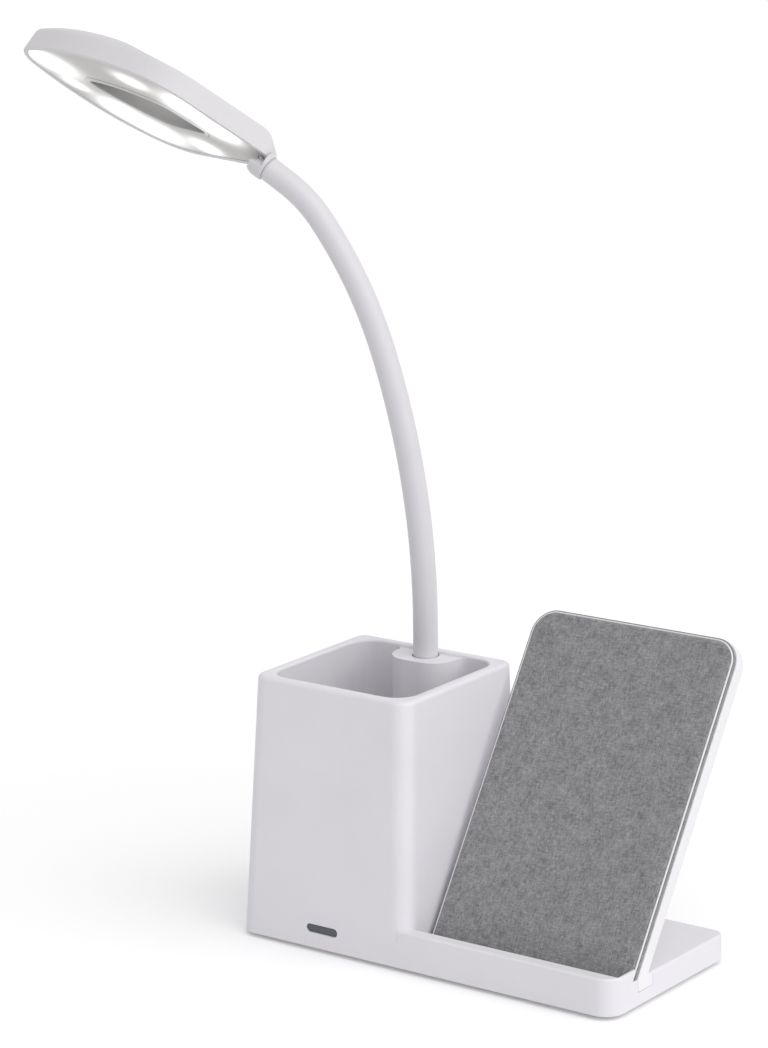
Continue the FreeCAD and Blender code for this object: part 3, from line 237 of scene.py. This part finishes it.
def plastic(name, color, roughness, relief=0.12, coat=0.0, sub=0.0):
    """Moulded plastic with faint flow marks in its colour."""
    n = Nodes(name)
    n.link(n.clouded(n.noise(MOULD_FLOW, 3.0), color, 0.02), n.shader.inputs["Base Color"])
    n.shader.inputs["Coat Weight"].default_value = coat
    n.shader.inputs["Coat Roughness"].default_value = 0.25
    if sub:
        n.shader.inputs["Subsurface Weight"].default_value = sub
        n.shader.inputs["Subsurface Scale"].default_value = 0.002
    moulded(n, roughness, relief)
    return n.material


def paper(name, color, glow):
    """Pale matt studio paper, faintly uneven, that reads as white where it is seen."""
    n = Nodes(name)
    n.link(n.clouded(n.noise(3.0, 2.0), color, 0.004), n.shader.inputs["Base Color"])
    n.shader.inputs["Roughness"].default_value = 0.95
    n.shader.inputs["Specular IOR Level"].default_value = 0.1
    n.shader.inputs["Emission Color"].default_value = (1, 1, 1, 1)
    n.link(n.math("MULTIPLY", shown(n.tree), glow), n.shader.inputs["Emission Strength"])
    return n.material


def metal(name, color, roughness, stretch=(1, 1, 1)):
    """Bare metal with a fine uneven polish, brushed where the noise is stretched."""
    n = Nodes(name)
    polish = n.noise(METAL_GRAIN, 3.0, stretch)
    tone = n.blend(n.spread(polish, 0, 1), shade(color, 0.86), shade(color, 1.12))
    n.link(tone, n.shader.inputs["Base Color"])
    n.link(n.spread(polish, roughness * 0.8, roughness * 1.3), n.shader.inputs["Roughness"])
    n.shader.inputs["Metallic"].default_value = 1.0
    n.bump(polish, 0.15, METAL_RELIEF)
    return n.material


def board(name, mask, copper):
    """Solder mask with paler tracks."""
    n = Nodes(name)
    tracks = n.add("ShaderNodeTexBrick")
    tracks.inputs["Scale"].default_value = 170.0
    tracks.inputs["Mortar Size"].default_value = 0.05
    tracks.inputs["Color1"].default_value = (*mask, 1)
    tracks.inputs["Color2"].default_value = (*shade(mask, 1.12), 1)
    tracks.inputs["Mortar"].default_value = (*copper, 1)
    n.link(n.coords, tracks.inputs["Vector"])
    n.link(tracks.outputs["Color"], n.shader.inputs["Base Color"])
    n.link(n.spread(n.noise(300.0), 0.3, 0.45), n.shader.inputs["Roughness"])
    return n.material


def rubber(name, color, roughness, relief=0.3, grain=1500.0, variation=0.07, cloud_scale=220.0):
    """Matt soft skin, clouded in colour and gloss, with a coarse or fine grain."""
    n = Nodes(name)
    cloud = n.noise(cloud_scale, 4.0)
    n.link(n.clouded(cloud, color, variation), n.shader.inputs["Base Color"])
    n.link(n.spread(cloud, roughness * 0.92, roughness * 1.08), n.shader.inputs["Roughness"])
    n.bump(n.noise(grain, 4.0), relief, 0.00008)
    return n.material


def felt(name, dark, light):
    """Heathered grey felt: dark and light fibres laid in two directions over soft blotches."""
    n = Nodes(name)
    across = n.noise(900.0, 4.0, (2.6, 0.55, 0.55), 0.6)
    along = n.noise(1100.0, 4.0, (0.5, 2.2, 2.2), 0.6)
    blotch = n.noise(230.0, 3.0)
    fibres = n.math("ADD", n.math("MULTIPLY", across, 0.42), n.math("MULTIPLY", along, 0.40))
    mixed = n.math("ADD", fibres, n.math("MULTIPLY", blotch, 0.18))
    n.link(n.blend(n.spread(mixed, 0, 1, 0.38, 0.62), dark, light), n.shader.inputs["Base Color"])
    n.link(n.spread(along, 0.86, 0.98), n.shader.inputs["Roughness"])
    n.shader.inputs["Sheen Weight"].default_value = 0.35
    n.shader.inputs["Sheen Roughness"].default_value = 0.55
    n.shader.inputs["Specular IOR Level"].default_value = 0.18
    n.bump(mixed, 0.75, 0.00022)
    return n.material


# ---------------------------------------------------------------- neck line and head axes
NECK_HEADING = math.radians(191.7)
COLUMN_TOP = Vector((-39.75, 26.0, 90.5)) * MM
NECK_STRAIGHT = 13.0 * MM
# Arcs after the straight run: length in mm and turn in degrees.
NECK_BENDS = ((93.7, 17.8), (49.8, 18.4), (17.5, 20.4))
NECK_LENGTH = NECK_STRAIGHT + sum(length for length, _ in NECK_BENDS) * MM
UP = Vector((0, 0, 1))
NECK_OUT = Vector((math.cos(NECK_HEADING), math.sin(NECK_HEADING), 0))
SLEEVE_START, SLEEVE_END = -14.3 * MM, 182.45 * MM
SLEEVE_RADIUS, SLEEVE_BORE = 4.3 * MM, 3.75 * MM
LEAD_RADIUS, LEAD_CORE = 0.7 * MM, 0.3 * MM
FIRST_JOINT, JOINTS = 8.0 * MM, 13
JOINT_PITCH = (NECK_LENGTH - FIRST_JOINT) / (JOINTS - 1)


def neck_at(distance):
    """Point and direction on the neck's line, distance along it from the column's top."""
    if distance <= NECK_STRAIGHT:
        return COLUMN_TOP + UP * distance, UP
    point = COLUMN_TOP + UP * NECK_STRAIGHT
    left = distance - NECK_STRAIGHT
    tilt = 0.0
    for length, turn in NECK_BENDS:
        radius = length * MM / math.radians(turn)
        used = min(left, length * MM)
        after = tilt + used / radius
        point = point + NECK_OUT * (radius * (math.cos(tilt) - math.cos(after)))
        point = point + UP * (radius * (math.sin(after) - math.sin(tilt)))
        tilt = after
        left -= used
        if left <= 0:
            break
    heading = NECK_OUT * math.sin(tilt) + UP * math.cos(tilt)
    return point + heading * max(left, 0.0), heading


HEAD_RISE, HEAD_ROLL = math.radians(19.7), math.radians(42.5)
HEAD_END_RUN, COLLAR_AXIS_HEIGHT = 8.8 * MM, -2.2 * MM


def head_matrix():
    """Head's own axes: X from root to nose, Y to the raised edge, Z from the lit face to the roof."""
    nose = NECK_OUT * math.cos(HEAD_RISE) + UP * math.sin(HEAD_RISE)
    level = UP.cross(nose).normalized()
    upward = nose.cross(level).normalized()
    edge = level * math.cos(HEAD_ROLL) + upward * math.sin(HEAD_ROLL)
    roof = nose.cross(edge)
    origin = neck_at(NECK_LENGTH + HEAD_END_RUN)[0] - roof * COLLAR_AXIS_HEIGHT
    return axes_matrix(nose, edge, roof, origin)


# ---------------------------------------------------------------- mesh helpers
TUBE_SIDES, PIECE_RINGS, FIRST_PIECE_RINGS = 48, 14, 22
CAP_CORNERS = 5
CUT_TOLERANCE = 1e-7


def spaced(low, high, count):
    """Steps from low to high, closer together near both ends."""
    return [low + (high - low) * (0.5 - 0.5 * math.cos(math.pi * i / count)) for i in range(count + 1)]


def object_from(name, bm, material):
    """Smooth object from a bmesh, with its faces turned outwards; the bmesh is freed."""
    bmesh.ops.recalc_face_normals(bm, faces=bm.faces)
    mesh = bpy.data.meshes.new(name)
    bm.to_mesh(mesh)
    bm.free()
    for polygon in mesh.polygons:
        polygon.use_smooth = True
    mesh.materials.append(material)
    return link_object(name, mesh)


def new_object(name, verts, faces, material):
    """Smooth object from points and faces, turned as they are given."""
    mesh = bpy.data.meshes.new(name)
    mesh.from_pydata([tuple(v) for v in verts], [], faces)
    mesh.validate()
    mesh.update()
    for polygon in mesh.polygons:
        polygon.use_smooth = True
    mesh.materials.append(material)
    return link_object(name, mesh)


def turn_outwards(made):
    bm = bmesh.new()
    bm.from_mesh(made.data)
    bmesh.ops.recalc_face_normals(bm, faces=bm.faces)
    bm.to_mesh(made.data)
    bm.free()
    return made


def neck_tube(name, start, end, outer, inner, material, rings, caps):
    """Thick-walled piece of the neck's line between two distances, closed at the ends that caps names."""
    sides = TUBE_SIDES
    verts, faces = [], []
    side_axis = UP.cross(NECK_OUT)
    for radius in (outer, inner):
        for i in range(rings + 1):
            point, heading = neck_at(start + (end - start) * i / rings)
            across = side_axis.cross(heading)
            for k in range(sides):
                a = 2 * math.pi * k / sides
                verts.append(point + side_axis * (radius * math.cos(a)) + across * (radius * math.sin(a)))
    layer = (rings + 1) * sides
    for shell, turn in ((0, 1), (1, -1)):
        for i in range(rings):
            for k in range(sides):
                a = shell * layer + i * sides + k
                b = shell * layer + i * sides + (k + 1) % sides
                quad = (a, b, b + sides, a + sides)
                faces.append(quad[::turn])
    for wanted, row in zip(caps, (0, rings)):
        if wanted:
            for k in range(sides):
                a = row * sides + k
                b = row * sides + (k + 1) % sides
                faces.append((a, b, layer + b, layer + a))
    return turn_outwards(new_object(name, verts, faces, material))


def make_neck(sleeve_material, lead_material):
    """The sleeve and the lead in its bore, cut half-way along each link: each piece crosses one joint."""
    cuts = [FIRST_JOINT + JOINT_PITCH * (i + 0.5) for i in range(JOINTS - 1)]
    marks = [SLEEVE_START] + cuts + [SLEEVE_END]
    for k in range(JOINTS):
        start, end = marks[k], marks[k + 1]
        joint = FIRST_JOINT + JOINT_PITCH * k
        rings = PIECE_RINGS if k else FIRST_PIECE_RINGS
        caps = (k == 0, k == JOINTS - 1)
        low = neck_at(joint - JOINT_PITCH * 0.5)[0]
        high = neck_at(joint + JOINT_PITCH * 0.5)[0]
        sleeve = neck_tube("neck_sleeve_%02d" % (k + 1), start, end,
                           SLEEVE_RADIUS, SLEEVE_BORE, sleeve_material, rings, caps)
        lead = neck_tube("lamp_lead_%02d" % (k + 1), start, end,
                         LEAD_RADIUS, LEAD_CORE, lead_material, rings, caps)
        for piece, slot, node in ((sleeve, "neck_white", "neck_sleeve"), (lead, "lead_white", "lamp_lead")):
            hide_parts(node)
            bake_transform(piece)


def lead_end(name, distance, toward, body, material):
    """The CAD's lead past one end of the sleeve: toward is 1 for the head's end and -1 for the foot's."""
    node = frame["nodes"]["lamp_lead"]
    point, heading = neck_at(distance)
    bm = bmesh.new()
    bm.from_mesh(node.data)
    bm.transform(node.matrix_world)
    cut = bmesh.ops.bisect_plane(bm, geom=bm.verts[:] + bm.edges[:] + bm.faces[:], dist=CUT_TOLERANCE,
                                 plane_co=point, plane_no=heading * toward, clear_inner=True)
    rim = [e for e in cut["geom_cut"] if isinstance(e, bmesh.types.BMEdge)]
    bmesh.ops.contextual_create(bm, geom=rim)
    made = object_from(name, bm, material)
    for polygon in made.data.polygons:
        polygon.use_smooth = len(polygon.vertices) < CAP_CORNERS
    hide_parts("lamp_lead")
    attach(made, body)


# ---------------------------------------------------------------- stand pads
# Lengths in mm, in the stand's frame: X across, Z up its slope, -Y towards the phone.
STAND_LEAN, STAND_FOOT = math.radians(33.3), Vector((0, -11.9, 10.5))
STAND_PLACE = Matrix.Translation(STAND_FOOT * MM) @ Matrix.Rotation(-STAND_LEAN, 4, "X")
PAD_BOTTOM, PAD_TOP, PAD_CORNER = -6.4, 111.7, 7.7
PAD_SEAT, PAD_THICKNESS = -7.85, 1.2
PAD_ROLL, PAD_CROWN, CROWN_RUN = 1.1, 0.25, 9.0
PAD_CELLS, PAD_CORNER_STEPS = 70, 10
PAD_BACK_DEPTH = 0.02
PAD_WOBBLE, PAD_WOBBLE_FADE, PAD_WOBBLE_RATE, PAD_WOBBLE_PLANE = 0.05, 6.0, 0.12, 3.1
RIM_GAP, RIM_SEAT, RIM_HALF_WIDTH, RIM_HEIGHT, RIM_CORNER_STEPS = 0.25, -7.8, 0.32, 0.42, 12
LEDGE_LEVEL, LEDGE_THICKNESS = -6.83, 0.95
LEDGE_NEAR, LEDGE_FAR = -15.6, -9.35
LIP_INNER_FACE = -29.45
LEDGE_COLUMNS, LEDGE_ROWS = 90, 12
LEDGE_ROLL, LEDGE_ROLL_DEPTH = 0.7, 0.5
LEDGE_WOBBLE, LEDGE_WOBBLE_RATE, LEDGE_WOBBLE_PLANE = 0.04, 0.2, 0.7


def quarter_roll(distance, run):
    """0 at an edge, rising as a quarter circle to 1 at the run's distance from it."""
    share = min(distance / run, 1.0)
    return math.sqrt(1 - (1 - share) ** 2)


def rounded_panel(x0, x1, z0, z1, radius, step):
    """Outline points of a panel, upright in the stand's frame, with round top corners."""
    points = [(x0, z0), (x1, z0)]
    for centre_x, first in ((x1 - radius, 0.0), (x0 + radius, math.pi / 2)):
        for i in range(step + 1):
            a = first + math.pi / 2 * i / step
            points.append((centre_x + radius * math.cos(a), z1 - radius + radius * math.sin(a)))
    return points


def crowned_panel(name, outline, radius, material):
    """Soft panel: flat back, front face that swells from a rolled edge to a shallow crown."""
    xs = [p[0] for p in outline]
    zs = [p[1] for p in outline]
    x0, x1, z0, z1 = min(xs), max(xs), min(zs), max(zs)
    rows = int(PAD_CELLS * (z1 - z0) / (x1 - x0))

    def inset(x, z):
        """Distance inwards from the panel's edge."""
        dx = min(x - x0, x1 - x)
        dz = min(z - z0, z1 - z)
        if z > z1 - radius and dx < radius:
            return radius - math.hypot(radius - dx, radius - (z1 - z))
        return min(dx, dz)

    def swell(distance):
        if distance <= 0:
            return 0.0
        roll = (PAD_THICKNESS - PAD_CROWN) * quarter_roll(distance, PAD_ROLL)
        return roll + PAD_CROWN * (1 - math.exp(-distance / CROWN_RUN))

    def drawn_in(x, z):
        """Point of the square grid, moved into the round of a top corner."""
        if z <= z1 - radius or min(x - x0, x1 - x) >= radius:
            return x, z
        centre_x = x0 + radius if x < (x0 + x1) / 2 else x1 - radius
        centre_z = z1 - radius
        reach = math.hypot(x - centre_x, z - centre_z)
        if reach <= 1e-6:
            return x, z
        shrink = max(abs(x - centre_x), abs(z - centre_z)) / reach
        return centre_x + (x - centre_x) * shrink, centre_z + (z - centre_z) * shrink

    bm = bmesh.new()
    grid = []
    for z in spaced(z0, z1, rows):
        line = []
        for x in spaced(x0, x1, PAD_CELLS):
            px, pz = drawn_in(x, z)
            place = Vector((px * PAD_WOBBLE_RATE, pz * PAD_WOBBLE_RATE, PAD_WOBBLE_PLANE))
            fade = min(1.0, max(0.0, inset(px, pz)) / PAD_WOBBLE_FADE)
            y = PAD_SEAT - swell(inset(px, pz)) - PAD_WOBBLE * noise.noise(place) * fade
            line.append(bm.verts.new(STAND_PLACE @ (Vector((px, y, pz)) * MM)))
        grid.append(line)
    for a, b in zip(grid, grid[1:]):
        for i in range(PAD_CELLS):
            bm.faces.new((a[i], a[i + 1], b[i + 1], b[i]))
    # The back: a rim pushed to the seat, closed by one flat face.
    right = [line[-1] for line in grid[1:-1]]
    left = [line[0] for line in grid[-2:0:-1]]
    front = grid[0] + right + grid[-1][::-1] + left
    push = STAND_PLACE.to_3x3() @ Vector((0, PAD_BACK_DEPTH, 0)) * MM
    back = [bm.verts.new(v.co + push) for v in front]
    for k in range(len(front)):
        bm.faces.new((front[k - 1], front[k], back[k], back[k - 1]))
    bm.faces.new(back)
    return object_from(name, bm, material)


def bead(name, outline, y, width, height, material):
    """Thin rounded strip, from the first to the last point of an outline in the stand's frame."""
    profile = [(-width, 0.0), (-width * 0.75, -height * 0.7), (0.0, -height),
               (width * 0.75, -height * 0.7), (width, 0.0)]
    last = len(outline) - 1
    verts, faces = [], []
    for i, (x, z) in enumerate(outline):
        before, after = outline[max(i - 1, 0)], outline[min(i + 1, last)]
        along = Vector((after[0] - before[0], after[1] - before[1])).normalized()
        across = Vector((along.y, -along.x))
        for offset, depth in profile:
            local = Vector((x + across.x * offset, y + depth, z + across.y * offset)) * MM
            verts.append(STAND_PLACE @ local)
    size = len(profile)
    for i in range(last):
        a, b = i * size, (i + 1) * size
        for k in range(size - 1):
            faces.append((a + k, a + k + 1, b + k + 1, b + k))
    return new_object(name, verts, faces, material)


def ledge_sheet(name, x0, x1, material):
    """Felt on the ledge: a thin strip with softly rolled edges, square to the pad."""
    columns, rows = LEDGE_COLUMNS, LEDGE_ROWS
    xs = spaced(x0, x1, columns)
    ys = spaced(LEDGE_NEAR, LEDGE_FAR, rows)

    def clip(local):
        """The point in the row frame, kept behind the lip's inner face."""
        point = STAND_PLACE @ (Vector(local) * MM)
        if point.y / MM < LIP_INNER_FACE:
            point.y = LIP_INNER_FACE * MM
        return point

    def rise(x, y):
        """Height of the felt's face against its full thickness."""
        edge = min(x - x0, x1 - x, y - LEDGE_NEAR, LEDGE_FAR - y)
        place = Vector((x * LEDGE_WOBBLE_RATE, y * LEDGE_WOBBLE_RATE, LEDGE_WOBBLE_PLANE))
        rolled = LEDGE_ROLL_DEPTH * quarter_roll(max(edge, 0.0), LEDGE_ROLL) - LEDGE_ROLL_DEPTH
        return min(rolled + LEDGE_WOBBLE * noise.noise(place), 0.0)

    verts, faces = [], []
    for y in ys:
        for x in xs:
            verts.append(clip((x, y, LEDGE_LEVEL + rise(x, y))))
    for j in range(rows):
        for i in range(columns):
            a = j * (columns + 1) + i
            faces.append((a, a + 1, a + columns + 2, a + columns + 1))
    top = len(verts)
    for x in xs:
        verts.append(clip((x, LEDGE_NEAR, LEDGE_LEVEL - LEDGE_THICKNESS)))
    for x in reversed(xs):
        verts.append(clip((x, LEDGE_FAR, LEDGE_LEVEL - LEDGE_THICKNESS)))
    near = list(range(columns + 1))
    far = [rows * (columns + 1) + i for i in range(columns, -1, -1)]
    left = [j * (columns + 1) for j in range(rows, -1, -1)]
    right = [j * (columns + 1) + columns for j in range(rows + 1)]
    bottom_near = [top + i for i in range(columns + 1)]
    bottom_far = [top + columns + 1 + i for i in range(columns + 1)]
    for upper, lower in ((near, bottom_near), (far, bottom_far)):
        for k in range(columns):
            faces.append((upper[k + 1], upper[k], lower[k], lower[k + 1]))
    faces.append(tuple(left + [bottom_near[0], bottom_far[-1]]))
    faces.append(tuple(right + [bottom_far[0], bottom_near[-1]]))
    faces.append(tuple(bottom_near + bottom_far))
    return turn_outwards(new_object(name, verts, faces, material))


def make_pads(fabric, trim):
    low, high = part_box("charging_pad")
    x0, x1 = low.x / MM, high.x / MM
    outline = rounded_panel(x0, x1, PAD_BOTTOM, PAD_TOP, PAD_CORNER, PAD_CORNER_STEPS)
    pad = crowned_panel("charging_pad_felt", outline, PAD_CORNER, fabric)
    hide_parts("charging_pad")
    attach(pad, "base")

    edge = rounded_panel(x0 - RIM_GAP, x1 + RIM_GAP, PAD_BOTTOM, PAD_TOP + RIM_GAP,
                         PAD_CORNER + RIM_GAP, RIM_CORNER_STEPS)
    rim = bead("charging_pad_rim", edge[1:] + edge[:1], RIM_SEAT, RIM_HALF_WIDTH, RIM_HEIGHT, trim)
    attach(rim, "base")

    low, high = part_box("ledge_pad")
    ledge = ledge_sheet("ledge_pad_felt", low.x / MM, high.x / MM, fabric)
    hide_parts("ledge_pad")
    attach(ledge, "base")


# ---------------------------------------------------------------- head's finishes, lamp glow and painted light
# Lengths in mm, in the head's own axes.
LAMP_LIGHT = (1.0, 0.995, 0.985, 1)
OPAL = (0.50, 0.495, 0.48)
GLOW_BETWEEN = 0.04
# Distances from the root over which the lamp's glow fades in and the painted shade on the opal's colour
# lifts.
ROOT_DARK, ROOT_LIT = 3.0, 13.0
RIM_LOW, RIM_HIGH = 0.1, 0.5
ROOF_LOW, ROOF_HIGH = 7.2, 8.0
# Ellipses that hold the painted shade on the slot's walls, and the painted glow on the walls with the rim
# round them: centre x, y and half axes.
SLOT_SHADE_ELLIPSE = (49.5, 0.0, 27.0, 9.0)
SLOT_GLOW_ELLIPSE = (50.0, 0.0, 29.0, 10.5)
LAMP_SPOTS = (
    # centre x, y, reach along x, reach along y, brightness
    (88.5, 1.4, 9.0, 4.8, 1.7),
    (80.5, -6.8, 5.0, 2.2, 1.2),
    (54.0, 13.6, 6.2, 2.6, 1.3),
    (33.0, 12.2, 7.5, 4.8, 1.8),
    (19.5, 5.8, 8.0, 4.0, 1.8),
    (63.0, -11.0, 8.0, 4.4, 1.8),
    (49.0, -14.0, 10.0, 4.6, 1.9),
    (27.7, -10.4, 6.0, 3.2, 1.4),
)


def head_axes(n):
    """X, Y and Z of the shaded point in the head's own axes."""
    place, rotation, _ = head_matrix().inverted().decompose()
    mapping = n.add("ShaderNodeMapping", vector_type="POINT")
    mapping.inputs["Location"].default_value = place
    mapping.inputs["Rotation"].default_value = rotation.to_euler()
    n.link(n.coords, mapping.inputs["Vector"])
    split = n.add("ShaderNodeSeparateXYZ")
    n.link(mapping.outputs["Vector"], split.inputs["Vector"])
    return split.outputs["X"], split.outputs["Y"], split.outputs["Z"]


def squared_reach(n, x, y, centre_x, centre_y, reach_x, reach_y):
    """0 at an ellipse's centre, 1 on its edge; centre and half axes in mm."""
    dx = n.math("DIVIDE", n.math("SUBTRACT", x, centre_x * MM), reach_x * MM)
    dy = n.math("DIVIDE", n.math("SUBTRACT", y, centre_y * MM), reach_y * MM)
    return n.math("ADD", n.math("MULTIPLY", dx, dx), n.math("MULTIPLY", dy, dy))


def lamp_glow(n, x, y):
    """Strength of the light that comes through the lit face, before it fades at the root."""
    glow = GLOW_BETWEEN
    for spot_x, spot_y, reach_x, reach_y, bright in LAMP_SPOTS:
        reach = squared_reach(n, x, y, spot_x, spot_y, reach_x, reach_y)
        spot = n.math("MULTIPLY", n.math("EXPONENT", n.math("MULTIPLY", reach, -1.0), 0.0), bright)
        glow = n.math("ADD", spot, glow)
    return glow


def lit_diffuser(name, color):
    """Opal cover lit from behind: bright over the lamp chips, dimmer between them, with its glow fading and
    its colour darkened as painted shade towards the root.
    """
    n = Nodes(name)
    x, y, _ = head_axes(n)
    root = n.spread(x, 0.0, 1.0, ROOT_DARK * MM, ROOT_LIT * MM)
    glow = n.math("MULTIPLY", lamp_glow(n, x, y), root)
    glow = n.math("MULTIPLY", glow, n.spread(n.noise(60.0), 0.97, 1.03))
    # Painted shade: the opal's colour is darkened towards the root.
    n.link(n.blend(root, shade(color, 0.7), color), n.shader.inputs["Base Color"])
    n.shader.inputs["Emission Color"].default_value = LAMP_LIGHT
    n.link(glow, n.shader.inputs["Emission Strength"])
    n.link(n.spread(n.noise(500.0), 0.32, 0.42), n.shader.inputs["Roughness"])
    n.bump(n.noise(MOULD_GRAIN, 3.0), 0.06, 0.00005)
    return n.material


def head_plastic_with_painted_light(name, color, shaded, lit, roughness):
    """The shell's plastic, with painted shade greying the slot's walls and a painted glow in the lit face's
    colour on the rim round the slot.
    """
    n = Nodes(name)
    x, y, z = head_axes(n)
    in_slot = n.spread(squared_reach(n, x, y, *SLOT_SHADE_ELLIPSE), 1.0, 0.0, 0.75, 0.95)
    below_roof = n.spread(z, 1.0, 0.0, ROOF_LOW * MM, ROOF_HIGH * MM)
    above_rim = n.spread(z, 0.0, 1.0, RIM_LOW * MM, RIM_HIGH * MM)
    # Painted shade: inside the slot, between rim and roof, the plastic takes the darker shaded colour.
    depth = n.math("MULTIPLY", n.math("MULTIPLY", in_slot, below_roof), above_rim)
    flow = n.clouded(n.noise(MOULD_FLOW, 3.0), color, 0.015)
    # Painted glow: the shell's rim round the slot takes the lit face's colour and the lamp's glow, though the
    # shell is no lamp.
    near_slot = n.spread(squared_reach(n, x, y, *SLOT_GLOW_ELLIPSE), 1.0, 0.0, 0.95, 1.1)
    rim = n.math("MULTIPLY", near_slot, n.spread(z, 1.0, 0.0, RIM_LOW * MM, RIM_HIGH * MM))
    n.link(n.blend(rim, n.blend(depth, flow, shaded), lit), n.shader.inputs["Base Color"])
    n.shader.inputs["Emission Color"].default_value = LAMP_LIGHT
    n.link(n.math("MULTIPLY", lamp_glow(n, x, y), rim), n.shader.inputs["Emission Strength"])
    moulded(n, roughness, 0.12)
    return n.material


# ---------------------------------------------------------------- finishes for the CAD nodes
def dress(materials):
    """Gives each CAD node the material of its slot."""
    slots = {row["node"]: row["material_slot"] for row in frame["record"]["subparts"]}
    for name, node in frame["nodes"].items():
        node.data.materials.clear()
        node.data.materials.append(materials[slots[name]])


def make_materials():
    """One material for each slot of the record."""
    return {
        "shell_white": plastic("shell_white", (0.755, 0.740, 0.775), 0.42, sub=0.04),
        "cover_white": plastic("cover_white", (0.70, 0.69, 0.715), 0.5),
        "foot_rubber": rubber("foot_rubber", (0.05, 0.05, 0.052), 0.75),
        "screw_steel": metal("screw_steel", (0.55, 0.55, 0.56), 0.32),
        "ballast_steel": metal("ballast_steel", (0.42, 0.43, 0.44), 0.5, (1, 12, 12)),
        "circuit_board": board("circuit_board", (0.02, 0.13, 0.05), (0.10, 0.30, 0.14)),
        "lamp_board": board("lamp_board", (0.78, 0.78, 0.76), (0.66, 0.66, 0.62)),
        "component_black": plastic("component_black", (0.03, 0.03, 0.034), 0.5),
        "socket_white": plastic("socket_white", (0.72, 0.70, 0.64), 0.45),
        "inlet_steel": metal("inlet_steel", (0.62, 0.62, 0.63), 0.25),
        "window_dark": plastic("window_dark", (0.045, 0.052, 0.075), 0.2, relief=0.02, coat=0.6),
        "indicator": plastic("indicator", (0.6, 0.65, 0.62), 0.25),
        "stand_white": plastic("stand_white", (0.80, 0.79, 0.81), 0.42, sub=0.04),
        "frame_grey": felt("frame_grey", (0.17, 0.17, 0.175), (0.30, 0.30, 0.305)),
        "pad_fabric": felt("pad_fabric", (0.14, 0.14, 0.145), (0.34, 0.34, 0.35)),
        "coil_copper": metal("coil_copper", (0.72, 0.36, 0.20), 0.35),
        "ferrite": plastic("ferrite", (0.05, 0.05, 0.052), 0.7),
        "neck_steel": metal("neck_steel", (0.50, 0.50, 0.52), 0.3),
        "neck_white": rubber("neck_white", (0.645, 0.632, 0.655), 0.42, 0.06, 2400.0, 0.012, 90.0),
        "lead_white": rubber("lead_white", (0.68, 0.68, 0.68), 0.5),
        # The head's second colour is the painted shade of the slot's walls; OPAL is the painted glow on the
        # slot's rim.
        "head_white": head_plastic_with_painted_light("head_white", (0.635, 0.622, 0.642), (0.40, 0.393, 0.39), OPAL, 0.4),
        "diffuser_opal": lit_diffuser("diffuser_opal", OPAL),
        "led_yellow": plastic("led_yellow", (0.85, 0.72, 0.30), 0.3),
    }


make_camera()
materials = make_materials()
make_stage()
dress(materials)
make_neck(materials["neck_white"], materials["lead_white"])
lead_end("lamp_lead_foot", SLEEVE_START, -1, "base", materials["lead_white"])
lead_end("lamp_lead_head", SLEEVE_END, 1, "head", materials["lead_white"])
make_pads(materials["pad_fabric"], materials["stand_white"])
